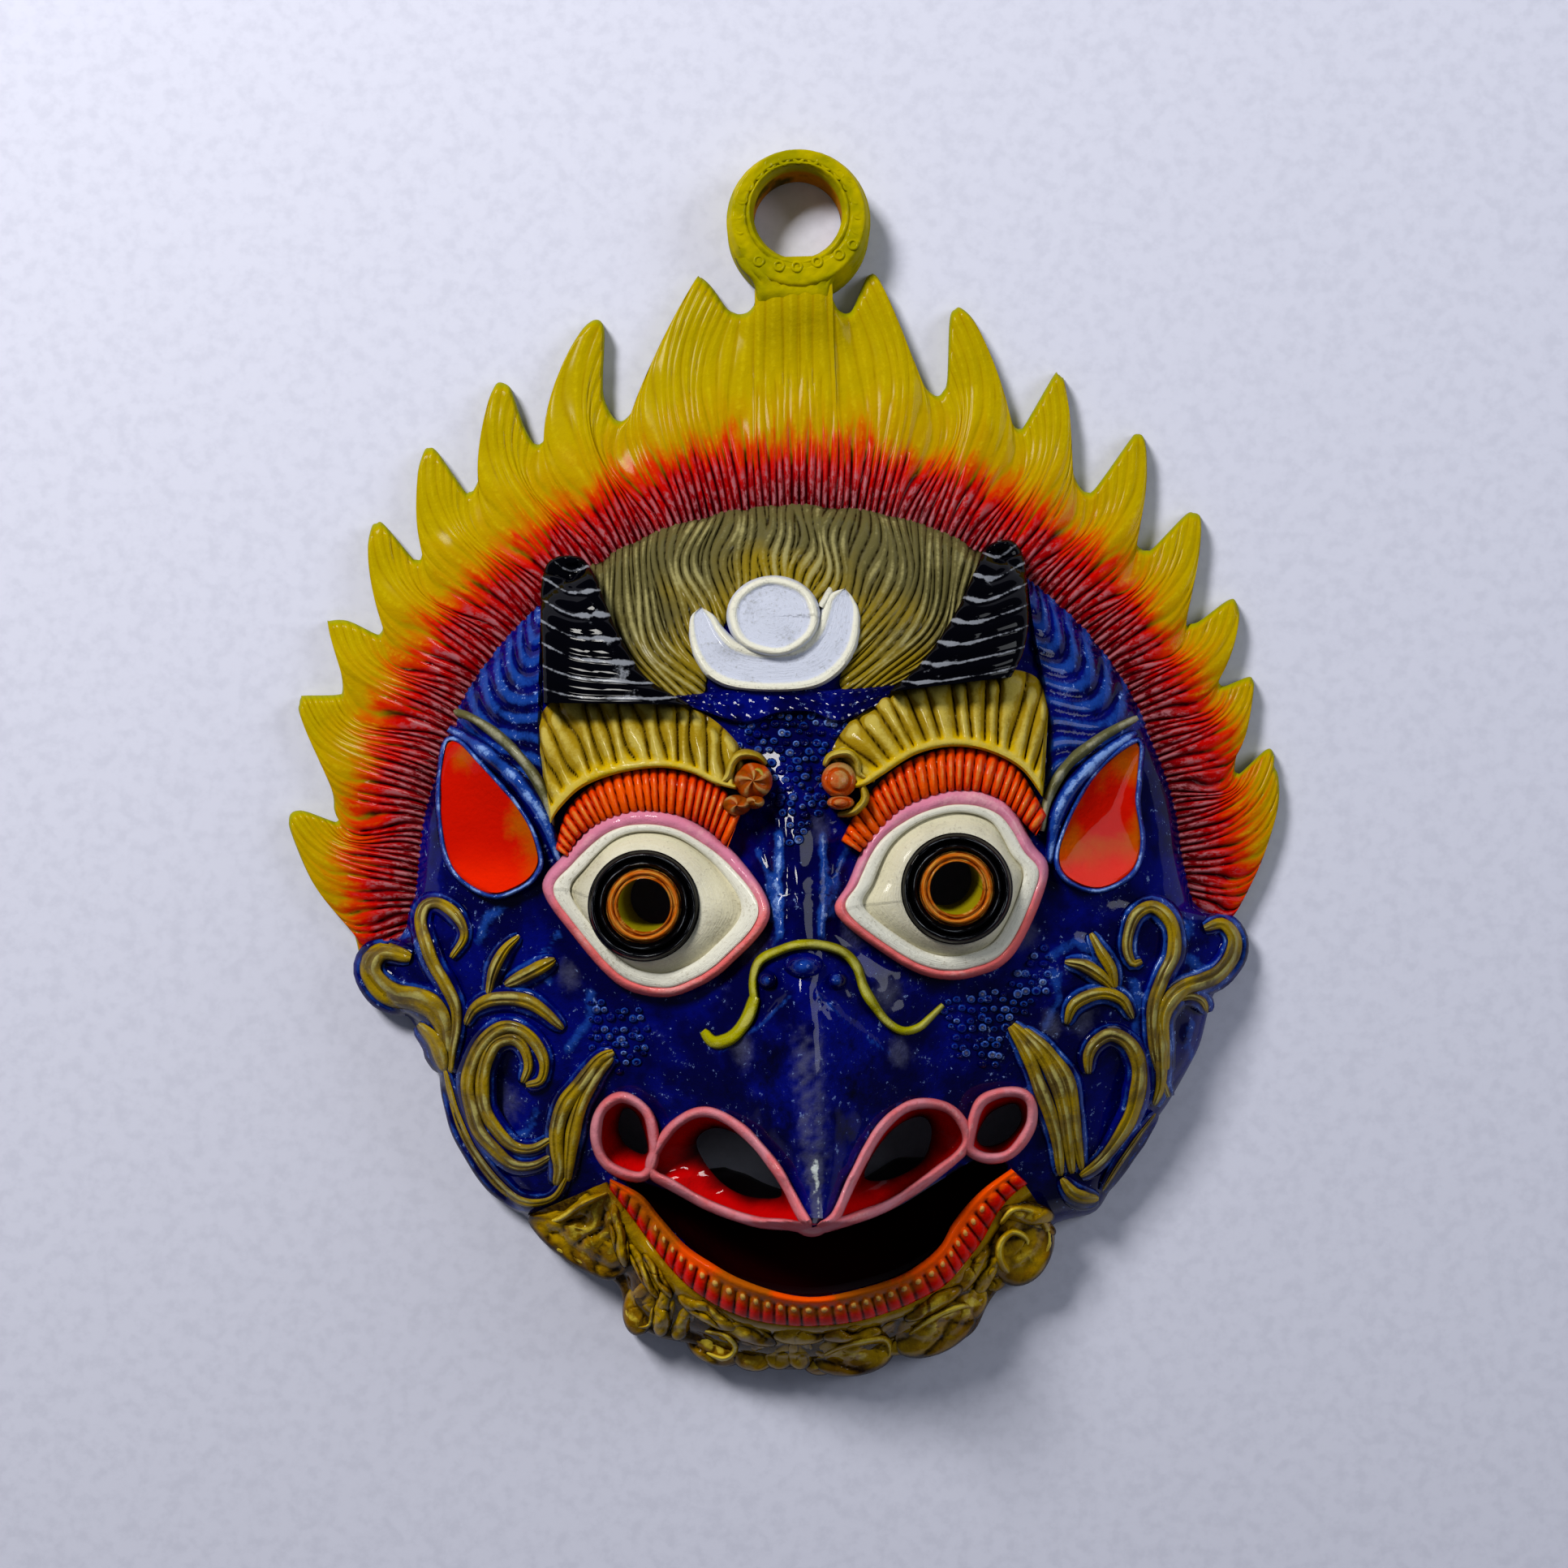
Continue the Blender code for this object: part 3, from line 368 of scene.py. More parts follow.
        self.drape(columns, rows, spot, rise, True, True, **more)

    def fire(self, name, paint, slot):
        """The finished piece under its paint, cast on the mask."""
        piece = shape(self.bm, name)
        piece.data.shade_smooth()
        piece.data.set_sharp_from_angle(angle=SHARP_FROM)
        piece.data.materials.append(paint)
        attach(piece, "root")
        return piece


class Tone:
    """A number, colour or vector in a paint's recipe, that can be reckoned with."""

    def __init__(self, recipe, socket):
        self.recipe, self.socket = recipe, socket

    def reckon(self, operation, first, second):
        return self.recipe.node("Math", {"operation": operation}, {0: first, 1: second})

    def __add__(self, other):
        return self.reckon("ADD", self, other)

    __radd__ = __add__

    def __sub__(self, other):
        return self.reckon("SUBTRACT", self, other)

    def __rsub__(self, other):
        return self.reckon("SUBTRACT", other, self)

    def __mul__(self, other):
        return self.reckon("MULTIPLY", self, other)

    __rmul__ = __mul__


class Recipe:
    """One paint: a material's nodes, written as sums."""

    def __init__(self, name):
        self.material = bpy.data.materials.new(name)
        self.material.use_nodes = True
        self.tree = self.material.node_tree
        self.shader = self.tree.nodes["Principled BSDF"]
        self.spot = self.node("TexCoord", {}, {}, "Object")

    def node(self, kind, settings, values, output=0):
        """A node of that kind, its settings made first and its sockets fed; gives one output."""
        made = self.tree.nodes.new("ShaderNode" + kind)
        for name, value in settings.items():
            if name == "stops":
                for number, (place_at, colour) in enumerate(value):
                    stops = made.color_ramp.elements
                    stop = stops[number] if number < 2 else stops.new(place_at)
                    stop.position, stop.color = place_at, colour
            else:
                setattr(made, name, value)
        for key, value in values.items():
            self.feed(made.inputs[key], value)
        return Tone(self, made.outputs[output])

    def feed(self, socket, value):
        if isinstance(value, Tone):
            self.tree.links.new(value.socket, socket)
        else:
            socket.default_value = value

    def mark(self, name):
        return self.node("Attribute", {"attribute_name": name}, {}, "Fac")

    def noise(self, scale, detail=3.0, spot=None, sharp=0.5):
        return self.node("TexNoise", {}, {"Vector": spot or self.spot, "Scale": scale, "Detail": detail,
                                          "Roughness": sharp}, "Fac")

    def between(self, value, low, high):
        """0 where value is under low, 1 over high, soft between."""
        return self.node("MapRange", {"interpolation_type": "SMOOTHSTEP"},
                         {"Value": value, "From Min": low, "From Max": high})

    def over(self, under, top, share):
        """The colour `top` brushed over `under` where share is 1."""
        return self.node("Mix", {"data_type": "RGBA"}, {0: share, 6: under, 7: top}, 2)

    def point(self, x, y, z=0.0):
        return self.node("CombineXYZ", {}, {0: x, 1: y, 2: z})

    def finish(self, colour, roughness, relief, depth, coat, haze=0.08):
        """The finished paint: its sheen is all in a thin hazy coat over the relief of the brushwork."""
        brushwork = self.node("Bump", {}, {"Strength": 1.0, "Distance": depth, "Height": relief})
        sockets = {"Base Color": colour, "Roughness": roughness, "Specular IOR Level": 0.0, "Coat Weight": coat,
                   "Coat Roughness": haze, "Coat IOR": 1.28, "Normal": brushwork}
        for name, value in sockets.items():
            self.feed(self.shader.inputs[name], value)
        return self.material


def rgb(red, green, blue):
    """A colour chip as matched, 0 to 255."""
    chip = [value / 255 for value in (red, green, blue)]
    return (*[c / 12.92 if c <= 0.04045 else ((c + 0.055) / 1.055) ** 2.4 for c in chip], 1.0)


def enamel(name, body, groove, crest, second, wear, gloss, blend=None, coat=0.4, fine=900.0, haze=0.08):
    """Hand-brushed enamel: the groove colour darkens the grooves and the crest colour lies in patches on the
    crests, as a dark wash and rubbed or dry-brushed paint; on the beard the grooves are painted shade, and on the
    beard and brows the crests are painted highlights.

    The second colour lies over the body in broad patches, or where blend(paint) is 1.
    """
    paint = Recipe(name)
    ridge = paint.mark("ridge")
    broad = paint.noise(90.0, 3.0)
    small = paint.noise(fine, 4.0, sharp=0.65)
    share = blend(paint) if blend else paint.between(broad + 0.25 * small, 0.5, 0.75)
    brushed = paint.over(body, second, share)
    lifted = ridge + 0.45 * (small - 0.5)
    # The grooves darkened: a dark wash, and painted shade on the beard.
    wash_and_shade = paint.over(groove, brushed, paint.between(lifted, 0.08, 0.6))
    # The crest colour on the crests: rubbed or dry-brushed paint, and a painted highlight on the beard and brows.
    rubbed = paint.between(lifted + 0.9 * (broad - 0.5), 0.8, 1.1) * wear
    colour = paint.over(wash_and_shade, crest, rubbed)
    relief = small * 0.5 + 0.4 * paint.noise(fine * 3.1, 2.0) + 1.6 * paint.noise(240.0, 2.0)
    return paint.finish(colour, gloss + 0.22 * small + 0.12 * rubbed, relief, depth=0.0003, coat=coat, haze=haze)


def blue_enamel():
    """Deep blue over the bare face: nearly black in the hollows as painted shade, lighter on the crests as
    dry-brushed paint and painted highlight, with light-blue painted glints, greyer where rubbed and dusty.
    """
    paint = Recipe("deep blue enamel")
    ridge, wear_dust_and_gleam, inside = paint.mark("ridge"), paint.mark("wear_dust_and_gleam"), paint.mark("inside")
    broad = paint.noise(55.0, 3.0)
    patch = paint.noise(170.0, 4.0, sharp=0.6)
    small = paint.noise(620.0, 5.0, sharp=0.7)
    fleck = paint.noise(1500.0, 3.0, sharp=0.7)
    body = paint.over(rgb(0, 0, 56), rgb(0, 6, 104), paint.between(broad + 0.4 * (patch - 0.5), 0.4, 0.66))
    lifted = ridge + 0.45 * (small - 0.5) + 0.7 * (patch - 0.5)
    # Painted shade: near black in the hollows, where the ridge mark is low.
    body = paint.over(rgb(0, 0, 18), body, paint.between(lifted, 0.0, 0.4))
    # On the crests, light blue that is both dry-brushed paint and painted highlight, then light-blue painted glints
    # in small specks.
    body = paint.over(body, rgb(24, 68, 158), paint.between(lifted, 0.6, 0.9) * 0.75)
    body = paint.over(body, rgb(126, 160, 220), paint.between(lifted + 0.4 * (fleck - 0.5), 0.94, 1.16) * 0.85)
    body = paint.over(body, rgb(130, 156, 214), paint.between(small + 0.4 * fleck + 0.3 * patch, 0.99, 1.06)
                      * (ridge + 0.2))
    # Grey dust, and white where the paint is rubbed through. The grey also lies on the beak's gleam, a painted
    # highlight.
    dust = paint.between(wear_dust_and_gleam + 0.45 * (patch - 0.5) + 0.2 * (small - 0.5), 0.04, 0.36) * 0.6
    body = paint.over(body, rgb(84, 86, 106), dust)
    body = paint.over(body, rgb(196, 204, 204), paint.between(wear_dust_and_gleam + 0.75 * (small - 0.5), 0.42, 0.58))
    # The hollow's inside: dark red-brown paint, near black as painted shade.
    body = paint.over(body, rgb(20, 6, 6), inside)
    relief = small * 0.5 + 0.25 * fleck + 2.2 * patch
    roughness = 0.2 + 0.2 * small + 0.25 * wear_dust_and_gleam + 0.3 * inside
    return paint.finish(body, roughness, relief, depth=0.00045, coat=0.7, haze=0.05)


def away(x, y, line):
    """How far the point is from the drawn line."""
    nearest = 1e9
    for (ax, ay), (bx, by) in zip(line, line[1:]):
        along = np.clip(((x - ax) * (bx - ax) + (y - ay) * (by - ay)) / ((bx - ax) ** 2 + (by - ay) ** 2), 0, 1)
        nearest = np.minimum(nearest, np.hypot(x - ax - (bx - ax) * along, y - ay - (by - ay) * along))
    return nearest


def head_relief(x, y):
    """Small forms of the bare face: height, ridge, and a mark for paint rubbed pale and dusty that also carries the
    beak's gleam, a painted highlight. The folds, creases and gleam raise the ridge, where the blue paints
    highlights.
    """
    dishes = sum(bump(np.hypot(x - dish[0], (y - dish[1]) * 0.8), DISH_REACH) for dish in SCROLL_DISHES)
    folds = sum(bump(x - fold, 12) for fold in NOSE_FOLDS) * plateau(y, 985, 1020, 1150, 1195)
    height = 0.00020 * waver(x, y, 26) + 0.00009 * waver(y, x, 9) - 0.0028 * dishes + 0.0007 * folds
    off = np.abs(x - beak_axis(y) - 2 * waver(x, y, 9))
    strip = bump(off, 11) * plateau(y, 1418, 1436, 1498, 1512) * (0.8 + 0.4 * waver(x, y, 6))
    # The gleam: a painted highlight down the beak's ridge.
    gleam = bump(off - 6, 26) * plateau(y, 1230, 1300, 1430, 1480) * (0.6 + 0.4 * waver(x, y, 6))
    middle, half = SMOOTH_BEAK
    beak = bump(np.hypot((x - middle[0]) / half[0], (y - middle[1]) / half[1]), 1)
    creases = sum(bump(away(x, y, line) + 2 * waver(x, y, 12), reach) for reach, line in CREASES)
    dust = sum(bump(np.hypot(x - spot[0], (y - spot[1]) * 0.7), spot[2]) for spot in DUSTY)
    height = height + 0.0007 * creases + 0.0002 * gleam
    # A higher ridge lightens the blue as painted highlight; the smooth beak is kept darker.
    ridge = 0.46 + 0.2 * folds + 0.3 * gleam + 0.4 * np.minimum(creases, 1) - 0.22 * beak
    return height, ridge, np.clip(0.6 * strip + 0.33 * gleam + 0.26 * dust, 0, 1)


def head_surface(s, t, top):
    """Outside the dome, inside a ledge and a smaller dome."""
    rim = BACK_RIM / UNIT
    ox, oy = at(OUTLINE_LINE, s)
    reach = np.hypot(ox - HEAD[0], oy - HEAD[1])
    out = np.minimum(t / BACK_RIM_FROM, 1)
    inside = out * (reach - rim) / reach
    ledge = (reach - rim + (t - BACK_RIM_FROM) / (1 - BACK_RIM_FROM) * rim) / reach
    share = np.where(top, t, np.where(t < BACK_RIM_FROM, inside, ledge))
    x = HEAD[0] + (ox - HEAD[0]) * share
    y = HEAD[1] + (oy - HEAD[1]) * share
    hollow = face_height(HEAD[0] + (ox - HEAD[0]) * out, HEAD[1] + (oy - HEAD[1]) * out, inner=True)
    hollow = np.maximum(hollow - WALL - CHEEK_EDGE * out ** 8, 0)
    lift, ridge, wear_dust_and_gleam = head_relief(x, y)
    edge = ramp(1 - t, 0, 0.03)
    front = face_height(x, y) + lift * edge - 0.0012 * (1 - edge)
    z = np.where(top, front, np.where(t < BACK_RIM_FROM, hollow, 0.0))
    return (*place(x, y, z), z, ridge, wear_dust_and_gleam, np.where(top, 0.0, 1.0))


def shaft(cutter, rim, low=-0.010, high=0.100):
    """A shaft along the lines of sight through a drawn opening."""
    middle = middle_of(rim)

    def surface(s, t, top):
        x, y = at(rim, s)
        z = np.where(top, high, low)
        return (*place(middle[0] + (x - middle[0]) * t, middle[1] + (y - middle[1]) * t, z), z)

    cutter.lay(len(rim) - 1, 1, surface, closed=True, filled=True)


def oval(centre, half_width, half_height, lean=0.0):
    """Twelve points round a drawn oval."""
    turn = np.radians(np.arange(0, 360, 30))
    u, v = half_width * np.cos(turn), half_height * np.sin(turn)
    c, d = math.cos(math.radians(lean)), math.sin(math.radians(lean))
    return tuple(zip(centre[0] + u * c - v * d, centre[1] + u * d + v * c))


BLUE = blue_enamel()
head = Casting("ridge", "wear_dust_and_gleam", "inside")
head.lay(HEAD_COLUMNS, HEAD_ROWS, head_surface, closed=True, filled=True)
head = head.fire("face_skin", BLUE, "blue_enamel")
cutter = Casting()
shaft(cutter, rim_line(MOUTH, columns=96))
for opening in (CORNER_LEFT, CORNER_RIGHT, NOSTRIL_LEFT, NOSTRIL_RIGHT):
    shaft(cutter, shrink(rim_line(opening, columns=64), FUNNEL_HOLD))
for iris in (IRIS_LEFT, IRIS_RIGHT):
    shaft(cutter, rim_line(oval(iris, PUPIL + PUPIL_CLEARANCE, PUPIL + PUPIL_CLEARANCE), columns=48))
cutter = shape(cutter.bm, "cutter")
cut = head.modifiers.new("openings", "BOOLEAN")
cut.operation, cut.solver, cut.object = "DIFFERENCE", "EXACT", cutter
bpy.context.view_layer.update()
opened = bpy.data.meshes.new_from_object(head.evaluated_get(bpy.context.evaluated_depsgraph_get()))
head.modifiers.clear()
head.data = opened
bpy.data.objects.remove(cutter)
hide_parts("mask")

# The crown: eight flames a side and the ring's neck, one casting with the head. Its strands were
# scored into the wax from the head's border out to the tips. Yellow enamel over orange and red,
# rubbed grey and pink on the crests beside the head. Each side is drawn from the neck to the cheek,
# with its stops at every notch and tip in turn.
CROWN_LEFT = (
    (984, 336), (960, 336), (940, 339), (931, 346), (930, 354), (932, 363), (930, 374), (922, 384),
    (912, 387), (904, 385), (895, 379), (878, 355), (867, 344), (862, 342), (857, 344),
    (827, 397), (798, 459), (781, 502), (774, 513), (765, 519), (755, 513), (745, 492), (743, 469), (745, 415),
    (743, 400), (737, 394), (728, 396), (715, 409), (696, 442), (683, 481), (676, 531), (667, 546), (660, 547),
    (655, 542), (645, 523), (631, 483), (626, 475), (616, 471), (610, 475), (601, 496), (594, 535), (592, 581),
    (584, 603), (578, 606), (572, 604), (539, 557), (528, 552), (523, 555), (516, 575), (514, 593), (514, 623),
    (520, 666), (519, 688), (512, 689), (507, 686), (473, 646), (464, 645), (458, 649), (453, 677), (459, 717),
    (471, 764), (471, 777), (468, 780), (463, 781), (429, 765), (406, 765), (404, 770), (419, 824), (422, 850),
    (415, 856), (374, 857), (371, 859), (369, 867), (371, 885), (407, 968), (412, 999), (419, 1008), (416, 1011),
    (411, 1012), (378, 1000), (365, 999), (358, 1003), (356, 1011), (358, 1024), (375, 1067), (391, 1095),
    (432, 1145), (438, 1156), (442, 1173))
STOPS_LEFT = ((984, 336), (931, 346), (912, 387), (862, 342), (765, 519), (737, 394), (664, 548), (616, 471),
              (578, 606), (528, 552), (515, 689), (464, 645), (467, 781), (406, 765), (420, 856), (370, 859),
              (418, 1010), (357, 1007), (442, 1173))
CROWN_RIGHT = (
    (984, 336), (1006, 334), (1020, 337), (1026, 346), (1024, 361),
    (1031, 379), (1038, 385), (1044, 386), (1051, 380), (1066, 345), (1073, 338), (1079, 339), (1088, 355),
    (1132, 461), (1144, 481), (1155, 488), (1162, 482), (1167, 467), (1170, 395), (1177, 381), (1185, 380),
    (1202, 398), (1222, 444), (1245, 516), (1252, 527), (1257, 528), (1263, 523), (1298, 463), (1303, 461),
    (1308, 465), (1312, 476), (1320, 569), (1326, 592), (1334, 604), (1339, 606), (1350, 601), (1393, 541),
    (1400, 535), (1408, 537), (1412, 551), (1412, 575), (1401, 662), (1406, 676), (1414, 678), (1422, 674),
    (1460, 635), (1471, 632), (1478, 635), (1480, 643), (1478, 676), (1462, 764), (1467, 768), (1478, 765),
    (1506, 744), (1517, 738), (1522, 740), (1527, 754), (1526, 770), (1520, 791), (1504, 827), (1502, 840),
    (1509, 845), (1538, 834), (1544, 839), (1545, 849), (1538, 893), (1526, 921), (1521, 948), (1525, 952),
    (1530, 951), (1561, 923), (1570, 931), (1570, 944), (1575, 956), (1576, 985), (1570, 1014), (1554, 1060),
    (1529, 1111), (1520, 1122), (1518, 1130))
STOPS_RIGHT = ((984, 336), (1026, 346), (1044, 386), (1076, 337), (1155, 488), (1181, 379), (1257, 528),
               (1303, 461), (1339, 606), (1402, 535), (1410, 678), (1474, 632), (1464, 768), (1519, 738),
               (1504, 844), (1542, 836), (1524, 952), (1564, 924), (1518, 1130))
FLAME_TIP_THICKNESS = 0.0050
FLAME_ROOT_THICKNESS = 0.0110
FLAME_EDGE_DROP = 0.0022
FLAME_EDGE_WIDTH = 9
NECK_THICKNESS = 0.0096
TIP_GROOVE = 0.00032
ROOT_GROOVE = 0.0010
RING = (984, 268)
RING_THICKNESS = 0.0120
FOOT_TURNS = (-96.5, 92.5)
NECK_FEET = 8.5
STRAND = 8.8
STRAND_COLUMNS = 6
SLANT_WEIGHT = 0.22
BEND_AT_FOOT = 0.45
BEND_AT_TIP = 0.46
CROWN_POINTS = 1100
CROWN_ROWS = 38
CROWN_FOOT = HEAD_RADIUS - 16


def soften(line, reach):
    """The line with its corners rounded over `reach` points each way."""
    padded = np.vstack((np.repeat(line[:1], reach, axis=0), line, np.repeat(line[-1:], reach, axis=0)))
    weights = np.hanning(2 * reach + 3)[1:-1]
    return np.column_stack([np.convolve(padded[:, axis], weights / weights.sum(), mode="valid") for axis in (0, 1)])


def foot_turn(spot):
    """The angle on the head's border that a notch's strands rise from."""
    turn = math.degrees(math.atan2(spot[0] - HEAD[0], HEAD[1] - spot[1]))
    return max(FOOT_TURNS[0], min(FOOT_TURNS[1], turn))


def strand_count(degrees):
    """How many strands stand side by side on that part of the head's border."""
    return degrees * math.radians(1) * HEAD_RADIUS / STRAND


def ribs(number, roundness=0.7):
    """Rounded ribs side by side: 0 in the grooves at whole numbers, 1 on the crests between."""
    return np.abs(np.sin(math.pi * number)) ** roundness


def crown_columns(outline, stops):
    """Outer ends, foot angles, leaning directions and strand numbers of one side's columns.

    A flame's columns are spread by the width that they cover across it, and a little by length.
    """
    line = smooth_line(outline, CROWN_POINTS)
    stops = [int(np.hypot(*(line - stop).T).argmin()) for stop in stops]
    side = 1 if outline[-1][0] > HEAD[0] else -1
    feet = [0, side * NECK_FEET] + [foot_turn(line[stop]) for stop in stops[4::2]]
    ends, turns, numbers, lean = [], [], [0.0], []
    for flame, (first, tip, last) in enumerate(zip(stops[::2], stops[1::2], stops[2::2])):
        start, end = feet[flame], feet[flame + 1]
        columns = STRAND_COLUMNS * round(strand_count(abs(end - start)))
        ahead = line[tip] - line[last] if flame else np.array((0.0, -1.0))
        ahead = ahead / np.hypot(*ahead)
        step = np.diff(line[first:last + 1], axis=0)
        across = np.abs(step[:, 0] * ahead[1] - step[:, 1] * ahead[0])
        gone = np.concatenate(([0], np.cumsum(across + SLANT_WEIGHT * np.hypot(*step.T))))
        peak = gone[tip - first]
        rising = max(4, round(columns * peak / gone[-1]))
        spots = np.concatenate((np.linspace(0, peak, rising, endpoint=False),
                                np.linspace(peak, gone[-1], columns - rising, endpoint=False)))
        index = np.interp(spots, gone, np.arange(first, last + 1))
        ends.append(np.column_stack(at(line, index / (len(line) - 1))))
        turns.append(np.linspace(start, end, columns, endpoint=False))
        numbers.extend(numbers[-1] + np.arange(1, columns + 1) / STRAND_COLUMNS)
        lean.append(np.repeat([ahead], columns, axis=0))
    ends = np.vstack(ends + [line[-1:]])
    turns = np.concatenate(turns + [feet[-1:]])
    lean = soften(np.vstack(lean + [lean[-1][-1:]]), 3 * STRAND_COLUMNS)
    return ends, turns, lean / np.hypot(*lean.T)[:, None], np.array(numbers)


def crown_surface(ends, turns, lean, numbers, foot_lean):
    """Strands that leave the border, bend and run out to the drawn edge."""
    knots = np.linspace(0, 1, len(ends))
    neck = strand_count(NECK_FEET)

    def surface(s, t, top):
        t = 1 - (1 - t) ** 1.4
        turn = np.radians(np.interp(s, knots, turns))
        leave = turn * foot_lean
        (ex, ey), (lx, ly) = at(ends, s), at(lean, s)
        fx, fy = HEAD[0] + CROWN_FOOT * np.sin(turn), HEAD[1] - CROWN_FOOT * np.cos(turn)
        length = np.hypot(ex - fx, ey - fy)
        c1x, c1y = fx + BEND_AT_FOOT * length * np.sin(leave), fy - BEND_AT_FOOT * length * np.cos(leave)
        c2x, c2y = ex - BEND_AT_TIP * length * lx, ey - BEND_AT_TIP * length * ly
        a, b, c, d = (1 - t) ** 3, 3 * t * (1 - t) ** 2, 3 * t * t * (1 - t), t ** 3
        x = a * fx + b * c1x + c * c2x + d * ex
        y = a * fy + b * c1y + c * c2y + d * ey
        number = np.interp(s, knots, numbers)
        joined = ramp(t, 0.64 - 0.022 * number, 0.70 - 0.022 * number) * (number < neck)
        weave = number + 0.25 * np.sin(6 * t + 1.9 * number) * np.sin(math.pi * t)
        ridge = ribs(weave)
        ridge = ridge + (ribs(0.5 * weave) - ridge) * joined
        out = (np.hypot(x - HEAD[0], y - HEAD[1]) - HEAD_RADIUS) / 100
        groove = (TIP_GROOVE + ROOT_GROOVE * (1 - ramp(out, 0.3, 1.0))) * (1 + 0.3 * np.sin(2.3 * np.floor(number)))
        to_edge = np.clip(length * (1 - t) / FLAME_EDGE_WIDTH, 0, 1)
        rounded = 1 - np.sqrt(np.clip(1 - (1 - to_edge) ** 2, 0, 1))
        body = FLAME_TIP_THICKNESS + (FLAME_ROOT_THICKNESS - FLAME_TIP_THICKNESS) * (1 - t) ** 1.5
        # The neck under the ring is thicker than the flames beside it.
        swell = ramp(200 - np.hypot(x - RING[0], y - RING[1]), 0, 110) * ramp(76 - np.abs(x - RING[0]), 0, 36)
        body = body + (NECK_THICKNESS - body) * swell
        height = body - groove * (1 - ridge) - FLAME_EDGE_DROP * rounded + 0.0003 * waver(x, y, 30)
        z = np.where(top, height, 0.0)
        return (*place(x, y, z), z, ridge, number, out, to_edge)

    return surface


def flame_enamel():
    """Yellow at the tips, orange and red towards the head, in streaks along the strands, with a thin painted
    highlight on the yellow crests.
    """
    paint = Recipe("flame enamel")
    ridge, strand, out, inward = [paint.mark(name) for name in ("ridge", "strand", "out", "inward")]
    streak = paint.noise(1.0, 3.0, paint.point(strand * 0.9, out * 1.6), 0.6)
    broad = paint.noise(60.0, 2.0)
    small = paint.noise(800.0, 4.0, sharp=0.65)
    heat = (out + (streak - 0.5) * 0.9 + (broad - 0.5) * 0.5) * 0.4
    fire = ((0.0, rgb(96, 0, 6)), (0.10, rgb(150, 2, 6)), (0.22, rgb(196, 8, 0)), (0.29, rgb(200, 44, 0)),
            (0.35, rgb(192, 100, 0)), (0.42, rgb(180, 138, 0)), (0.6, rgb(180, 154, 0)), (0.9, rgb(172, 150, 0)))
    colour = paint.node("ValToRGB", {"stops": fire}, {"Fac": heat})
    near = paint.between(heat, 0.36, 0.2)
    lifted = ridge + 0.35 * (small - 0.5)
    groove = paint.over(rgb(160, 132, 0), rgb(52, 0, 4), near)
    colour = paint.over(groove, colour, paint.between(lifted - 0.2 * near, 0.0, 0.6))
    # A thin painted highlight along the crests of the yellow strands.
    colour = paint.over(colour, rgb(214, 194, 20), paint.between(lifted, 0.92, 1.08) * (1 - near) * 0.35)
    patch = paint.between(paint.noise(1.0, 4.0, paint.point(strand * 1.3, out * 5.0, 3.0), 0.7), 0.44, 0.58)
    rubbed = paint.between(lifted, 0.55, 0.95) * patch * paint.between(heat, 0.26, 0.12) * 0.85
    colour = paint.over(colour, rgb(166, 98, 106), rubbed)
    colour = paint.over(rgb(150, 146, 0), colour, paint.between(inward + 0.4 * streak, 0.3, 1.0))
    relief = small * 0.5 + 0.3 * paint.noise(2600.0, 2.0) + 1.4 * paint.noise(260.0, 2.0)
    return paint.finish(colour, 0.46 + 0.2 * small - 0.14 * near, relief, depth=0.0002, coat=0.2, haze=0.14)


FLAME = flame_enamel()
for name, outline, stops, foot_lean in (("crown_left", CROWN_LEFT, STOPS_LEFT, 0.86),
                                        ("crown_right", CROWN_RIGHT, STOPS_RIGHT, 1.0)):
    crown = Casting("ridge", "strand", "out", "inward")
    columns = crown_columns(outline, stops)
    crown.lay(len(columns[0]) - 1, CROWN_ROWS, crown_surface(*columns, foot_lean))
    crown.fire(name, FLAME, "flame_enamel")

# The hanging ring: a thick eye on the neck, its bore eased by a lip, with small rings punched into
# its front. The same yellow enamel, browner inside the bore.
RING_RADIUS = 0.0176
RING_BORE = (983, 259)
RING_BORE_RADIUS = 0.0108
RING_STAMPS = ((935, 320), (960, 326), (982, 327), (1007, 321), (1034, 312), (1051, 300))
STAMPED_AT = 74
SMALL_STAMPS = [(RING[0] + STAMPED_AT * math.sin(turn), RING[1] - STAMPED_AT * math.cos(turn))
                for turn in np.linspace(-2.0, 2.0, 17)]
SHOULDER_LEFT = ((905, 318), (912, 331), (926, 347), (931, 364), (926, 388))
SHOULDER_RIGHT = ((1052, 314), (1043, 330), (1029, 346), (1025, 362), (1030, 388))
SHOULDER_HEIGHT = 0.0108
SHOULDER_STRANDS = 9


def yellow_enamel():
    """The crown's yellow, with olive wash and a browner bore."""
    paint = Recipe("ring yellow enamel")
    ridge, inside = paint.mark("ridge"), paint.mark("inside")
    small = paint.noise(700.0, 4.0, sharp=0.65)
    broad = paint.noise(120.0, 3.0)
    colour = paint.over(rgb(150, 142, 0), rgb(176, 160, 0), paint.between(broad, 0.4, 0.6))
    colour = paint.over(rgb(84, 78, 0), colour, paint.between(ridge + 0.4 * (small - 0.5), 0.05, 0.7))
    wall = paint.over(rgb(164, 104, 0), rgb(70, 62, 0), paint.between(broad + 0.3 * small, 0.55, 0.8))
    colour = paint.over(colour, wall, paint.between(inside, 0.05, 0.3))
    relief = small * 0.6 + 1.8 * paint.noise(260.0, 3.0)
    return paint.finish(colour, 0.42 + 0.2 * small, relief, depth=0.0002, coat=0.2, haze=0.14)


ring_middle = [float(value) for value in place(*RING, RING_THICKNESS)]
ring_bore = [float(value) for value in place(*RING_BORE, RING_THICKNESS)]


